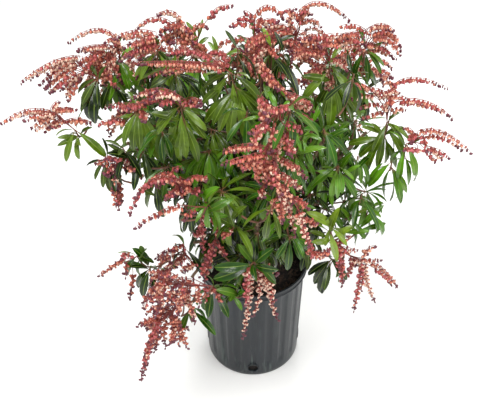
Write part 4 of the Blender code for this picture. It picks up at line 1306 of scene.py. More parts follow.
def tint_of(tuft, pick):
    """The tint of a tuft's leaves: its own, or else by its place in the crown and a random pick. The darker green
    inside the crown is painted shade, and the lighter, yellower one is partly painted light.
    """
    tip = tuft.line[-1]
    if tuft.tint:
        return tuft.tint
    if (tip - CROWN_CENTRE).length < PAINTED_SHADE_WITHIN or pick < TINT_SHARES["deep"]:
        return "deep"
    if tip.x < OLIVE_UNTIL and pick < TINT_SHARES["olive"]:
        return "olive"
    if tip.x > FRESH_AND_LIT_FROM[0] and tip.z < FRESH_AND_LIT_FROM[1] and pick < TINT_SHARES["bright"]:
        return "bright"
    return "mid" if pick < TINT_SHARES["mid"] else "bright"


# -------------------------------------------------------------------- bud sprays

# The sprays' stalks and the buds on them, then the buds' tones and the tufts that bear sprays by the rule.
SPRAY_STEPS = 10
SPRAYS_PER_TUFT = (4, 7)
SPRAY_FOOT = 0.030
BARE_FOOT = (0.10, 0.28)
BUD_SIZES = (0.86, 1.14)
BUD_TAPER = 0.30
BUD_SWING = (0.35, 0.9)
BUD_LEAN = (0.0, 0.35)
BUD_JITTER = 0.2
BUD_LEVEL = 0.4
DARK_FROM = 0.86
DARK_SPREAD = 0.08
STALK_TAPER = 0.6
STALK_BEND = 3.2
FALL_SPREAD = (0.75, 1.25)
ROOT_SHARES = (0.2, 1.0)
CUT_SHORT = (1, 3)
SPRAY_CAN_MARGIN = 0.010
START_DEPTH = (-0.015, 0.02)
SHOWN_DEPTH = (-0.045, 0.03)
BACK_STEP = 0.01
BESIDE = (2.5, 5.0)
BESIDE_DEPTH = (0.0, 0.03)
HUB_SHARE = 0.8
BARE_POINTS = 4
SHOWN_BARE = (0.0, 0.06)
BESIDE_BARE = (0.15, 0.40)
REACH_OVER = 0.012
TONES = ("coral", "brick", "crimson", "pale")
TONE_HELD = {"pale": 0.85}
TONE_MIX = 0.6
PALE_UNTIL = (0.8, 1.5)
TONE_SHARES = {
    "mixed": (5, 3, 1, 3), "coral": (7, 1, 1, 3), "brick": (2, 7, 2, 0.5), "crimson": (1, 3, 7, 0.5),
    "pale": (1, 1, 1, 9), "rose": (4, 0, 4, 3),
}
BUD_GROWTH = {"over_rim": 1.12}
# In these masses this share of the buds takes the dark tone as painted shade.
PAINTED_SHADE_BUDS = {
    "low_left": 0.22, "low_front_left": 0.2, "left_middle": 0.25, "front_left": 0.12, "crown_left": 0.1,
    "low_right": 0.1,
}
FREE_LIFT = 0.5
FREE_TUFTS = 5.5
FREE_MASSES = ("back", "back_left", "low_back_left", "low_back", "back_right", "low_back_right", "back_high")


def spray_line(root, aim, length, fall):
    """The line of a spray's stalk: it sets off along aim and bends over under its own weight."""
    points, heading = [root], aim.normalized()
    for step in range(1, SPRAY_STEPS + 1):
        share = step / SPRAY_STEPS
        heading = (heading - UP * fall * share * STALK_BEND / SPRAY_STEPS).normalized()
        place = points[-1] + heading * length / SPRAY_STEPS
        ring = math.hypot(place.x, place.y)
        if not clear_of_can(place, SPRAY_CAN_MARGIN) and ring > 0:
            push = (RIM_RADIUS + SPRAY_CAN_MARGIN) / ring
            place = Vector((place.x * push, place.y * push, place.z))
        points.append(place)
    return points


def picture_arc(spray, beside, y, depth):
    """The line through a spray's start, middle and end in the picture, from the plane at y to depth behind it."""
    start, middle, end = (
        from_picture((spray[i] + beside[0], spray[i + 1] + beside[1]), y + depth * i / 4) for i in (0, 2, 4)
    )
    return bent(start, middle * 2 - (start + end) / 2, end, SPRAY_STEPS + 1)


def shown_sprays(tuft, chance):
    """The stalk lines of a panicle that the photograph shows, with others close beside them where it is dense, each
    with the share of it that is bare of buds."""
    tip = tuft.line[-1]
    arcs, bare = [], []
    for spray in tuft.sprays:
        for number in range(tuft.fill + 1):
            beside, y = (0.0, 0.0), tip.y + chance.uniform(*START_DEPTH)
            if number:
                turn, away = chance.uniform(0, math.tau), chance.uniform(*BESIDE)
                beside, y = (away * math.cos(turn), away * abs(math.sin(turn))), y + chance.uniform(*BESIDE_DEPTH)
            depth = chance.uniform(*SHOWN_DEPTH)
            arc = picture_arc(spray, beside, y, depth)
            while max(p.z for p in arc) > CAD_BOX[1][2] + REACH_OVER:
                y += BACK_STEP
                arc = picture_arc(spray, beside, y, depth)
            arcs.append(arc[: len(arc) - chance.randint(*CUT_SHORT)] if number else arc)
            bare.append(chance.uniform(*(BESIDE_BARE if number else SHOWN_BARE)))
    hub = tip.lerp(sum((arc[0] for arc in arcs), Vector()) / len(arcs), HUB_SHARE)
    return [(bent(tip, hub, arc[0], BARE_POINTS + 1)[:-1] + arc, share) for arc, share in zip(arcs, bare)]


def sprays_of(tuft, chance, shortest, longest):
    """The stalk lines of one tuft's panicle, by the rule."""
    bough = BOUGHS[tuft.mass]
    outward = outward_of(bough)
    first = chance.uniform(0, math.tau)
    lines = []
    for number in range(chance.randint(*SPRAYS_PER_TUFT)):
        around = sideways(tuft.way, first + number * GOLDEN_TURN)
        aim = (tuft.way + outward) / 2 + around * RACEME_SPREAD - UP * bough.hang / 2
        aim.z = min(aim.z, aim.length * RACEME_RISE)
        fall = (RACEME_FALL[0] + RACEME_FALL[1] * bough.hang) * chance.uniform(*FALL_SPREAD)
        root = tuft.line[-1] + tuft.way * SPRAY_FOOT * chance.uniform(*ROOT_SHARES)
        line = spray_line(root, aim, chance.uniform(shortest, longest), fall)
        while not inside_reach(line[-1]) or not is_inside(in_picture(line[-1]), BUD_OUTLINE):
            line = line[:-1]
        foot = [tuft.line[-1].lerp(root, i / BARE_POINTS) for i in range(BARE_POINTS)]
        lines.append((foot + line, chance.uniform(*BARE_FOOT)))
    return lines


def inside_reach(place):
    """Whether a point lies within the solids' own box, or barely past it."""
    return all(low - REACH_OVER < v < high + REACH_OVER for v, low, high in zip(place, *CAD_BOX))


def buds_on(line, chance, spacing, bare):
    """The buds of one spray as (place, turn, size, share along it): they leave the stalk all round and nod down."""
    line = line[BARE_POINTS:]
    count = int(length_of(line) * (1 - bare) / spacing)
    first = chance.uniform(0, math.tau)
    found = []
    for number in range(count):
        share = bare + (1 - bare) * (number + chance.uniform(-BUD_JITTER, BUD_JITTER) + 0.5) / count
        place, heading = along(line, share)
        side = sideways(heading, first + number * GOLDEN_TURN)
        side.z *= BUD_LEVEL
        hang = (side * chance.uniform(*BUD_SWING) - UP + heading * chance.uniform(*BUD_LEAN)).normalized()
        size = chance.uniform(*BUD_SIZES) * (1 - BUD_TAPER * share**4)
        found.append((place, hang.to_track_quat("-Z", "Y").to_euler(), size, share))
    return found


def ring_of(radius, height, sides, turn=0.0):
    angles = [turn + math.tau * i / sides for i in range(sides)]
    return [Vector((radius * math.cos(angle), radius * math.sin(angle), height)) for angle in angles]


# The bud's bell as (radius, height) rings, and its stalk's radius, sides and depth in the bell.
BUD_TOP = -0.26
BUD_RINGS = ((0.185, -0.40), (0.250, -0.66), (0.150, -0.92))
BUD_SIDES = 5
BUD_WIDEST = 0.50
BUD_STALK = (0.040, 3, 0.06)


def bud(name):
    """A bud of unit length and width that hangs along -Z: a bell under a star of five sepals, on its own stalk."""
    points, faces, sepal = [Vector((0.0, 0.0, BUD_TOP))], [], []
    for row, (radius, height) in enumerate(BUD_RINGS):
        points += ring_of(radius / BUD_WIDEST, height, BUD_SIDES, math.pi * row / BUD_SIDES)
    points.append(Vector((0.0, 0.0, -1.0)))

    def face(corners, is_sepal):
        faces.append(corners)
        sepal.append(is_sepal)

    for i in range(BUD_SIDES):
        j = (i + 1) % BUD_SIDES
        top, belly, lip = 1, 1 + BUD_SIDES, 1 + 2 * BUD_SIDES
        face((0, top + i, top + j), True)
        face((top + i, belly + i, top + j), True)
        face((top + j, belly + i, belly + j), False)
        face((belly + i, lip + j, belly + j), False)
        face((belly + i, lip + i, lip + j), False)
        face((lip + i, len(points) - 1, lip + j), False)
    base = len(points)
    radius, sides, depth = BUD_STALK
    points += ring_of(radius / BUD_WIDEST, BUD_TOP - depth, sides) + [Vector((0.0, 0.0, 0.0))]
    for i in range(sides):
        face((base + i, base + (i + 1) % sides, base + sides), True)
    face(tuple(base + i for i in reversed(range(sides))), True)
    mesh = mesh_of(name, points, faces)
    made = bmesh.new()
    made.from_mesh(mesh)
    bmesh.ops.recalc_face_normals(made, faces=made.faces)
    made.to_mesh(mesh)
    made.free()
    mark_on(mesh, "second_part", "FACE", sepal)
    mesh.shade_smooth()
    return new_object(name, mesh)


def flowering_tufts():
    """The tufts that bear sprays: those of the table, and the outermost ones of the masses at the back."""
    bearing = {}
    for tuft in tufts():
        bearing.setdefault(tuft.mass, []).append(tuft)
    for mass, held in bearing.items():
        bough = BOUGHS[mass]
        outward = outward_of(bough)
        held.sort(key=lambda t: -(t.line[-1] - heart_of(bough)).dot(outward + UP * FREE_LIFT))
        free = [t for t in held if not t.sprays][: round(bough.bloom * FREE_TUFTS)] if mass in FREE_MASSES else []
        yield from [t for t in held if t.sprays] + free


def bud_tone(tone, mass, share, chance):
    """The tone of one bud: most take their spray's, a pale spray ends redder, the last buds are dark, and in some
    lower and left masses more buds are dark as painted shade.
    """
    own = tone if chance.random() < TONE_HELD.get(tone, TONE_MIX) else chance.choice(TONES)
    if tone == "pale" and share > chance.uniform(*PALE_UNTIL):
        own = "brick"
    if share > DARK_FROM + chance.uniform(-DARK_SPREAD, DARK_SPREAD) or chance.random() < PAINTED_SHADE_BUDS.get(mass, 0.0):
        own = "dark"
    return own


# --------------------------------------------------------------------- operators

TRUNK_POINTS = 19
TRUNK_SIDES = 28
# The trunk's relief as a multiple of the boughs', then how far its ends run on and their radius there as a share.
TRUNK_RELIEF = 3
TRUNK_ROOT = (0.004, 1.05)
TRUNK_CAP = (0.006, 0.55)


class ANDROMEDA_OT_bark(bpy.types.Operator):
    """Wraps the trunk and every bough in bark with its relief"""

    bl_idname = "andromeda.bark"
    bl_label = "Bark of trunk and boughs"

    def execute(self, context):
        crown, colours = context.scene.andromeda_crown, context.scene.andromeda_colours
        bark = bark_material("bark_grey_brown", colours.bark, colours.bark_furrow_shade)
        trunk = [trunk_point(share) for share in graded(0.0, 1.0, TRUNK_POINTS)]
        (root, wide), (top, narrow) = trunk[0], trunk[-1]
        trunk.insert(0, (root - UP * TRUNK_ROOT[0], wide * TRUNK_ROOT[1]))
        trunk.append((top + UP * TRUNK_CAP[0], narrow * TRUNK_CAP[1]))
        piece = tubes("bark_trunk", [trunk], TRUNK_SIDES, bark, crown.bark_relief * TRUNK_RELIEF)
        claim(piece, ["trunk"])
        piece = tubes("bark_boughs", list(limb_lines().values()), crown.limb_sides, bark, crown.bark_relief)
        claim(piece, [name for name in WOOD_NODES if name != "trunk"])
        return {"FINISHED"}


class ANDROMEDA_OT_twigs(bpy.types.Operator):
    """Grows the fine twigs on from the boughs"""

    bl_idname = "andromeda.twigs"
    bl_label = "Twigs"

    def execute(self, context):
        crown, colours = context.scene.andromeda_crown, context.scene.andromeda_colours
        young = plain_material("twig_bark", colours.twig, 60.0, (0.5, 0.7), relief=(500.0, 5.0), depth=0.0005)
        radii = graded(*TWIG_RADII, TWIG_POINTS)
        lines = [list(zip(tuft.line, radii)) for tuft in tufts()]
        claim(tubes("fine_twigs", lines, crown.twig_sides, young), FOLIAGE_NODES)
        return {"FINISHED"}


class ANDROMEDA_OT_leaves(bpy.types.Operator):
    """Sets a drooping tuft of leaves on the end of every twig"""

    bl_idname = "andromeda.leaves"
    bl_label = "Leaves"

    def execute(self, context):
        crown, colours = context.scene.andromeda_crown, context.scene.andromeda_colours
        shapes = [blade(f"blade_{i}", *shape) for i, shape in enumerate(BLADE_SHAPES)]
        under = plain_material("leaf_underside", colours.leaf_under, 30.0, (0.5, 0.62))
        heaps = {tint: [] for tint in TINTS}
        for tuft in tufts():
            chance = random.Random(f"{tuft.mass} {tuft.line[-1].x:.4f} leaves")
            tint = tint_of(tuft, chance.random())
            leaves = leaves_of(tuft, chance)
            if isinstance(tuft.leaves, tuple):
                leaves += aimed_leaves(tuft, chance, crown.leaf_length)
            for place, turn, size, kind, young in leaves:
                shade = "young" if young and chance.random() < YOUNG_SHARE else tint
                wide = size * LEAF_BREADTHS.get(tuft.mass, 1.0)
                heaps[shade].append((place, turn, (wide, size, size), kind))
        for tint, spots in heaps.items():
            green = getattr(colours, f"leaf_{tint}")
            top = leaf_material(f"leaf_{tint}", green, colours.leaf_rib, colours.leaf_stalk)
            piece = scattered(f"leaves_{tint}", spots, shapes, crown.leaf_width, crown.leaf_length, top, under)
            claim(piece, FOLIAGE_NODES)
        for shape in shapes:
            bpy.data.objects.remove(shape)
        return {"FINISHED"}


class ANDROMEDA_OT_sprays(bpy.types.Operator):
    """Hangs the sprays of buds from the twigs that bear them"""

    bl_idname = "andromeda.sprays"
    bl_label = "Bud sprays"

    def execute(self, context):
        crown, colours = context.scene.andromeda_crown, context.scene.andromeda_colours
        stalks, heaps = [], {tone: [] for tone in (*TONES, "dark")}
        for tuft in flowering_tufts():
            chance = random.Random(f"{tuft.mass} {tuft.line[-1].x:.4f} sprays")
            growth = BUD_GROWTH.get(tuft.mass, 1.0)
            if tuft.sprays:
                lines = shown_sprays(tuft, chance)
            else:
                lines = sprays_of(tuft, chance, crown.spray_shortest, crown.spray_longest)
            for line, bare in lines:
                radii = [crown.stalk_radius * (1 - STALK_TAPER * i / len(line)) for i in range(len(line))]
                stalks.append(list(zip(line, radii)))
                tone = chance.choices(TONES, TONE_SHARES[tuft.tone])[0]
                for place, turn, size, share in buds_on(line, chance, crown.bud_spacing * growth, bare):
                    own = bud_tone(tone, tuft.mass, share, chance)
                    heaps[own].append((place, turn, [size * growth] * 3, 0))
        stalk = plain_material("spray_stalk", colours.stalk, 50.0, (0.5, 0.65))
        claim(tubes("spray_stalks", stalks, crown.stalk_sides, stalk), FOLIAGE_NODES)
        shape = bud("bud_shape")
        calyx = plain_material("bud_calyx", colours.calyx, 45.0, (0.42, 0.6), shades=(0.7, 1.35))
        calyx_dark = plain_material("bud_calyx_dark", colours.calyx_dark, 45.0, (0.42, 0.6), shades=(0.7, 1.3))
        for tone, spots in heaps.items():
            second = calyx_dark if tone == "dark" else calyx
            skin = plain_material(f"bud_{tone}", getattr(colours, f"bud_{tone}"), 60.0, (0.40, 0.58))
            piece = scattered(f"buds_{tone}", spots, [shape], crown.bud_width, crown.bud_length, skin, second)
            claim(piece, FOLIAGE_NODES)
        bpy.data.objects.remove(shape)
        return {"FINISHED"}


# --------------------------------------------------------------------------- can

# The wall's mesh, then the groove below the rim's band, the rolled lip, the band and its bead.
WALL_ROWS = 30
CAN_SEGMENTS = 240
GROOVE = 0.0030
LIP_RADIUS = 0.0024
BAND_IN = 0.0008
LANDS_PROUD = 0.0009
BEAD_RADIUS = 0.0024
# The underside: how far in from the wall its ring begins and is full, and how much higher its middle lies.
FOOT_RING = (0.020, 0.016)
UNDERSIDE = 0.0015
SHELF_IN = 0.0010
SHELF_SHARE = 0.7
CHAMFER_SHARE = 0.3
ARC_POINTS = 7
BAND_SHARES = (2.4, 2.2)
BAND_INSIDE = (0.0058, 0.003, 0.002)
INNER_FOOT = (0.003, 0.004)
# Where a flute's flank starts and ends on its wave, and how long it fades at its foot and top.
FLUTE_EDGES = (-0.1, 0.75)
FLUTE_FADE = (0.012, 0.010)
DRAIN_SIDES = 32
DRAIN_DEPTH = 0.02
DRAIN_RING_SIDES = 8
SHARP_ANGLE = math.radians(50)


def rolled(middle, height, radius, first, step):
    """The rows of a rounded edge about (middle, height), from the first angle on in degrees."""
    turns = [math.radians(first + step * i) for i in range(ARC_POINTS)]
    return [(middle + radius * math.cos(turn), height + radius * math.sin(turn)) for turn in turns]


def can_outline():
    """The can's section as turned's rows, from the middle of its underside over the rim to that of its floor."""
    band_foot = CAN_HEIGHT - RIM_BAND
    band_face = RIM_RADIUS - BAND_IN - BEAD_RADIUS
    rows = [
        (0.0, UNDERSIDE),
        (WALL_FOOT_RADIUS - FOOT_RING[0], UNDERSIDE),
        (WALL_FOOT_RADIUS - FOOT_RING[1], 0.0),
        (WALL_FOOT_RADIUS - FOOT_CHAMFER, 0.0),
        (WALL_FOOT_RADIUS - FOOT_CHAMFER * CHAMFER_SHARE, FOOT_CHAMFER * CHAMFER_SHARE),
    ]
    for share in graded(0.0, 1.0, WALL_ROWS + 1):
        height = FOOT_CHAMFER + (band_foot - GROOVE - FOOT_CHAMFER) * share
        rows.append((LANDS_PROUD + WALL_FOOT_RADIUS + (WALL_TOP_RADIUS - WALL_FOOT_RADIUS) * share, height, True))
    return [
        *rows,
        (WALL_TOP_RADIUS - SHELF_IN, band_foot - GROOVE * SHELF_SHARE),
        (WALL_TOP_RADIUS - SHELF_IN, band_foot),
        *rolled(band_face, band_foot + BEAD_RADIUS, BEAD_RADIUS, -105, 30),
        (band_face, band_foot + BEAD_RADIUS * BAND_SHARES[0]),
        (band_face, CAN_HEIGHT - LIP_RADIUS * BAND_SHARES[1]),
        *rolled(RIM_RADIUS - LIP_RADIUS, CAN_HEIGHT - LIP_RADIUS, LIP_RADIUS, -60, 40),
        (RIM_RADIUS - BAND_INSIDE[0], band_foot + BAND_INSIDE[1]),
        (WALL_TOP_RADIUS - WALL, band_foot - BAND_INSIDE[2]),
        (WALL_FOOT_RADIUS - WALL, FLOOR + INNER_FOOT[1]),
        (WALL_FOOT_RADIUS - WALL - INNER_FOOT[0], FLOOR),
        (0.0, FLOOR),
    ]


def turned(name, rows, segments):
    """A closed solid of revolution of (radius, height) rows. The points of rows with a third entry are marked."""
    points, marks, loops = [], [], []
    for radius, height, *mark in rows:
        count = 1 if radius == 0.0 else segments
        loops.append(list(range(len(points), len(points) + count)))
        for i in range(count):
            angle = math.tau * i / segments
            points.append((radius * math.cos(angle), radius * math.sin(angle), height))
            marks.append(bool(mark))
    faces = []
    for low, high in zip(loops, loops[1:]):
        for i in range(segments):
            j = (i + 1) % segments
            corners = [low[i % len(low)], low[j % len(low)], high[j % len(high)], high[i % len(high)]]
            faces.append(tuple(dict.fromkeys(corners)))
    mesh = mesh_of(name, points, faces)
    mark_on(mesh, "relief_side", "POINT", marks)
    mesh.shade_smooth()
    return new_object(name, mesh)


def flute_tree():
    """Presses upright flutes into the marked wall: flat lands between rounded grooves, fading at both ends."""
    measures = [(label, "Float") for label in ("Flutes", "Depth", "Foot", "Top")]
    tree, feeds = geometry_tree("Flutes", [*measures, ("Material", "Material")])
    place = node(tree, "GeometryNodeInputPosition").outputs["Position"]
    parts = node(tree, "ShaderNodeSeparateXYZ", {"Vector": place}).outputs
    angle = maths(tree, "ARCTAN2", parts["Y"], parts["X"])
    wave = maths(tree, "COSINE", maths(tree, "MULTIPLY", angle, feeds["Flutes"]))
    groove = ramped(tree, wave, *FLUTE_EDGES)
    rise = ramped(tree, parts["Z"], feeds["Foot"], maths(tree, "ADD", feeds["Foot"], FLUTE_FADE[0]))
    fade = ramped(tree, parts["Z"], feeds["Top"], maths(tree, "SUBTRACT", feeds["Top"], FLUTE_FADE[1]))
    depth = maths(tree, "MULTIPLY", maths(tree, "MULTIPLY", rise, fade), feeds["Depth"])
    share = maths(tree, "MULTIPLY", groove, depth)
    flat = node(tree, "ShaderNodeCombineXYZ", {"X": parts["X"], "Y": parts["Y"]}).outputs["Vector"]
    outward = node(tree, "ShaderNodeVectorMath", {0: flat}, operation="NORMALIZE").outputs["Vector"]
    offset = scaled(tree, outward, maths(tree, "MULTIPLY", share, -1.0))
    wall = named(tree, "relief_side", "BOOLEAN")
    shift = {"Geometry": feeds["Geometry"], "Selection": wall, "Offset": offset}
    moved = node(tree, "GeometryNodeSetPosition", shift).outputs["Geometry"]
    end_tree(tree, dressed(tree, realized(tree, moved), feeds["Material"]))
    return tree


def wall_radius(height):
    return WALL_FOOT_RADIUS + (WALL_TOP_RADIUS - WALL_FOOT_RADIUS) * height / (CAN_HEIGHT - RIM_BAND)


def built_mesh(name, built):
    mesh = bpy.data.meshes.new(name)
    built.to_mesh(mesh)
    built.free()
    return mesh


def bore_drain(piece, turn):
    """Cuts one drain hole through the can's wall."""
    across = Matrix.Translation((WALL_FOOT_RADIUS, 0.0, DRAIN_HEIGHT)) @ Matrix.Rotation(math.pi / 2, 4, "Y")
    cutter = bmesh.new()
    bmesh.ops.create_cone(
        cutter, cap_ends=True, segments=DRAIN_SIDES, radius1=DRAIN_RADIUS, radius2=DRAIN_RADIUS,
        depth=DRAIN_DEPTH, matrix=turn @ across,
    )
    tool = new_object("drain_cutter", built_mesh("drain_cutter", cutter))
    cut = piece.modifiers.new("Drain", "BOOLEAN")
    cut.object, cut.operation, cut.solver = tool, "DIFFERENCE", "EXACT"
    graph = bpy.context.evaluated_depsgraph_get()
    fresh = bpy.data.meshes.new_from_object(piece.evaluated_get(graph), depsgraph=graph)
    piece.modifiers.remove(cut)
    piece.data = fresh
    bpy.data.objects.remove(tool)


def drain_ring(turn, radius):
    """The line of the raised ring round one drain hole, which follows the wall."""
    line = []
    for i in range(DRAIN_SIDES + 1):
        angle = math.tau * i / DRAIN_SIDES
        over = DRAIN_BOSS * math.cos(angle)
        height = DRAIN_HEIGHT + DRAIN_BOSS * math.sin(angle)
        wall = wall_radius(height) + LANDS_PROUD
        line.append((turn @ Vector((math.sqrt(wall**2 - over**2), over, height)), radius))
    return line


class ANDROMEDA_OT_can(bpy.types.Operator):
    """Moulds the fluted nursery can with its rim and drain holes"""

    bl_idname = "andromeda.can"
    bl_label = "Nursery can"

    def execute(self, context):
        can, colours = context.scene.andromeda_can, context.scene.andromeda_colours
        plastic = plastic_material("can_plastic", colours.plastic, colours.plastic_scuff)
        values = {
            "Flutes": float(can.flutes),
            "Depth": can.flute_depth,
            "Foot": FLUTE_FOOT,
            "Top": CAN_HEIGHT - RIM_BAND - GROOVE,
            "Material": plastic,
        }
        piece = grown(turned("can_shell", can_outline(), CAN_SEGMENTS), flute_tree(), values, "can_shell")
        turns = [Matrix.Rotation(math.tau * number / DRAINS, 4, "Z") for number in range(DRAINS)]
        for turn in turns:
            bore_drain(piece, turn)
        piece.data.shade_smooth()
        piece.data.set_sharp_from_angle(angle=SHARP_ANGLE)
        claim(piece, ["nursery_can"])
        rings = [drain_ring(turn, can.boss_radius) for turn in turns]
        claim(tubes("can_drain_rings", rings, DRAIN_RING_SIDES, plastic), ["nursery_can"])
        return {"FINISHED"}


# ------------------------------------------------------------------- potting mix

# The rings of the mix's top, and how soon it levels off from its edge.
MIX_STEPS = 26
MIX_LEVEL = 1.4
MIX_SEGMENTS = 120
MIX_FOOT = (0.003, 0.002, 0.006)
# The lumps as (fineness, share), where they fade out at the edge, and the chips strewn over them.
MIX_EDGE = 0.002
LUMPS = ((55, 0.7), (170, 0.3))
LUMP_FADE = 0.01
LUMP_DROP = 0.0005
CHIP_BERTH = 0.008
CHIP_DEPTH = 0.002
CHIP_GROUND_SIDES = 48
CHIP_TILT = 0.7
CHIP_SPIN = 6.28
CHIP_SIZES = (0.35, 1.25)
CHIP_SEEDS = (7, 11, 5)


def chip_shape():
    """A flat splinter of bark of unit size."""
    points = [
        (-0.5, -0.16, 0.0), (0.42, -0.22, 0.03), (0.5, 0.12, -0.02), (-0.36, 0.2, 0.02),
        (-0.42, -0.10, 0.13), (0.34, -0.15, 0.17), (0.40, 0.08, 0.12), (-0.28, 0.13, 0.15),
    ]
    faces = [(3, 2, 1, 0), (4, 5, 6, 7), (0, 1, 5, 4), (1, 2, 6, 5), (2, 3, 7, 6), (3, 0, 4, 7)]
    return new_object("chip_shape", mesh_of("chip_shape", points, faces))


def chip_tree():
    """Strews chips of one shape over a surface, each turned and sized at random from a fixed seed."""
    tree, feeds = geometry_tree(
        "Chips", (("Chip", "Object"), ("Size", "Float"), ("Density", "Float"), ("Material", "Material"))
    )
    spot_seed, spin_seed, size_seed = CHIP_SEEDS
    strewn = {"Mesh": feeds["Geometry"], "Density": feeds["Density"], "Seed": spot_seed}
    spots = node(tree, "GeometryNodeDistributePointsOnFaces", strewn)
    info = node(tree, "GeometryNodeObjectInfo", {"Object": feeds["Chip"]})
    turns = {0: (-CHIP_TILT, -CHIP_TILT, 0.0), 1: (CHIP_TILT, CHIP_TILT, CHIP_SPIN), "Seed": spin_seed}
    spin = node(tree, "FunctionNodeRandomValue", turns, data_type="FLOAT_VECTOR")
    sizes = {2: CHIP_SIZES[0], 3: CHIP_SIZES[1], "Seed": size_seed}
    share = node(tree, "FunctionNodeRandomValue", sizes, data_type="FLOAT")
    chips = {
        "Points": spots.outputs["Points"],
        "Instance": info.outputs["Geometry"],
        "Rotation": spin.outputs[0],
        "Scale": maths(tree, "MULTIPLY", share.outputs[1], feeds["Size"]),
    }
    placed = node(tree, "GeometryNodeInstanceOnPoints", chips).outputs["Instances"]
    end_tree(tree, dressed(tree, realized(tree, placed), feeds["Material"]))
    return tree


class ANDROMEDA_OT_mix(bpy.types.Operator):
    """Fills the can with potting mix, lumpy on top and strewn with chips of bark"""

    bl_idname = "andromeda.mix"
    bl_label = "Potting mix"

    def execute(self, context):
        can, colours = context.scene.andromeda_can, context.scene.andromeda_colours
        soil = plain_material("mix_soil", colours.mix, 120.0, (0.85, 1.0), relief=(260.0, 1.0), depth=0.003)
        top = wall_radius(SOIL_TOP) - WALL - SOIL_GAP
        foot = wall_radius(FLOOR) - WALL - SOIL_GAP - MIX_FOOT[0]
        edge = SOIL_TOP - SOIL_FALL
        rows = [
            (0.0, FLOOR + CLEAR),
            (foot, FLOOR + CLEAR),
            (foot + MIX_FOOT[1], FLOOR + MIX_FOOT[2]),
            (top - (top - foot) * 0.5, edge * 0.5),
            (top, edge),
        ]
        for i in range(1, MIX_STEPS + 1):
            radius = top * (1 - i / MIX_STEPS)
            rows.append((radius, edge + SOIL_FALL * min(1.0, MIX_LEVEL * i / MIX_STEPS), True))
        body = turned("mix_body", rows, MIX_SEGMENTS)
        mark = body.data.attributes["relief_side"].data
        for i, vertex in enumerate(body.data.vertices):
            ring = math.hypot(vertex.co.x, vertex.co.y)
            if mark[i].value and ring < top - MIX_EDGE:
                lump = sum(noise.noise(vertex.co * scale) * share for scale, share in LUMPS)
                vertex.co.z += can.mix_relief * lump * min(1.0, (top - ring) / LUMP_FADE) - LUMP_DROP
        body.data.update()
        body.data.materials.append(soil)
        claim(body, ["potting_mix"])
        built = bmesh.new()
        level = Matrix.Translation((0, 0, SOIL_TOP - CHIP_DEPTH))
        bmesh.ops.create_circle(
            built, cap_ends=True, segments=CHIP_GROUND_SIDES, radius=top - CHIP_BERTH, matrix=level
        )
        ground = new_object("chip_ground", built_mesh("chip_ground", built))
        chip = chip_shape()
        bark = plain_material("mix_chips", colours.chips, 70.0, (0.8, 0.95), shades=(0.45, 1.4), depth=0.0012)
        values = {"Chip": chip, "Size": can.chip_size, "Density": can.chip_density, "Material": bark}
        piece = grown(ground, chip_tree(), values, "mix_bark_chips")
        bpy.data.objects.remove(chip)
        claim(piece, ["potting_mix"])
        return {"FINISHED"}


# ------------------------------------------------------------------------- stage

WHITE = (1.0, 1.0, 1.0, 1.0)
FLOOR_SIZE = 16.0
SKY_STRENGTH = 0.5
LIT_CENTRE = Vector((0.0, 0.0, 0.5))
# Each light's name, place, size and power.
LIGHTS = (
    ("key", (-0.7, -1.0, 3.2), 1.4, 71.0),
    ("fill", (2.1, -1.1, 2.2), 1.6, 30.0),
    ("back", (0.3, 2.0, 2.6), 1.4, 54.0),
    ("front", (0.3, -2.5, 2.5), 1.2, 34.0),
)


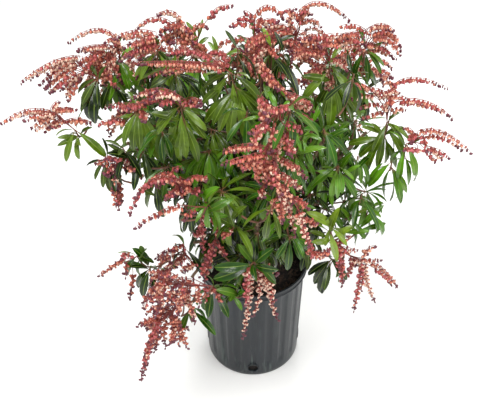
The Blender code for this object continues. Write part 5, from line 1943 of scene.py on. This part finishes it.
class ANDROMEDA_OT_stage(bpy.types.Operator):
    """Sets up the pale floor, the soft lights and the camera"""

    bl_idname = "andromeda.stage"
    bl_label = "Studio"

    def execute(self, context):
        scene, colours = context.scene, context.scene.andromeda_colours
        half = FLOOR_SIZE / 2
        corners = [(-half, -half, 0.0), (half, -half, 0.0), (half, half, 0.0), (-half, half, 0.0)]
        floor = new_object("studio_floor", mesh_of("studio_floor", corners, [(0, 1, 2, 3)]))
        floor.data.materials.append(
            plain_material("floor_paper", colours.floor, 3.0, (0.85, 0.95), shades=(0.99, 1.01), depth=0.0001)
        )
        world = bpy.data.worlds.new("soft_studio")
        world.use_nodes = True
        sky = world.node_tree.nodes["Background"]
        sky.inputs["Color"].default_value = WHITE
        sky.inputs["Strength"].default_value = SKY_STRENGTH
        scene.world = world
        for name, place, size, power in LIGHTS:
            lamp = bpy.data.lights.new(name, "AREA")
            lamp.shape, lamp.size, lamp.energy = "DISK", size, power
            held = new_object(name, lamp)
            held.location = place
            held.rotation_euler = (LIT_CENTRE - Vector(place)).to_track_quat("-Z", "Y").to_euler()
        lens = bpy.data.cameras.new("photo_camera")
        lens.sensor_width, lens.lens = CAMERA_SENSOR, CAMERA_LENS
        camera = new_object("photo_camera", lens)
        camera.location = CAMERA_PLACE
        camera.rotation_euler = (math.pi / 2 - CAMERA_TILT, 0.0, 0.0)
        scene.camera = camera
        scene.view_settings.view_transform = "Standard"
        return {"FINISHED"}


class ANDROMEDA_PT_panel(bpy.types.Panel):
    """Lists the pieces of the potted shrub"""

    bl_label = "Andromeda"
    bl_idname = "ANDROMEDA_PT_panel"
    bl_space_type = "VIEW_3D"
    bl_region_type = "UI"
    bl_category = "Andromeda"

    def draw(self, context):
        for operator in OPERATORS:
            self.layout.operator(operator.bl_idname)
        for settings in SETTINGS:
            group = getattr(context.scene, settings)
            for name in type(group).__annotations__:
                self.layout.prop(group, name)


OPERATORS = (
    ANDROMEDA_OT_bark,
    ANDROMEDA_OT_twigs,
    ANDROMEDA_OT_leaves,
    ANDROMEDA_OT_sprays,
    ANDROMEDA_OT_can,
    ANDROMEDA_OT_mix,
    ANDROMEDA_OT_stage,
)
SETTINGS = {
    "andromeda_crown": AndromedaCrown, "andromeda_can": AndromedaCan, "andromeda_colours": AndromedaColours,
}
CLASSES = (*SETTINGS.values(), *OPERATORS, ANDROMEDA_PT_panel)


def register():
    for made in CLASSES:
        bpy.utils.register_class(made)
    for name, settings in SETTINGS.items():
        setattr(bpy.types.Scene, name, PointerProperty(type=settings))


def unregister():
    for name in SETTINGS:
        delattr(bpy.types.Scene, name)
    for made in reversed(CLASSES):
        bpy.utils.unregister_class(made)


def main():
    """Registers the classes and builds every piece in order."""
    register()
    bpy.ops.andromeda.bark()
    bpy.ops.andromeda.twigs()
    bpy.ops.andromeda.leaves()
    bpy.ops.andromeda.sprays()
    bpy.ops.andromeda.can()
    bpy.ops.andromeda.mix()
    bpy.ops.andromeda.stage()


if __name__ == "__main__":
    main()
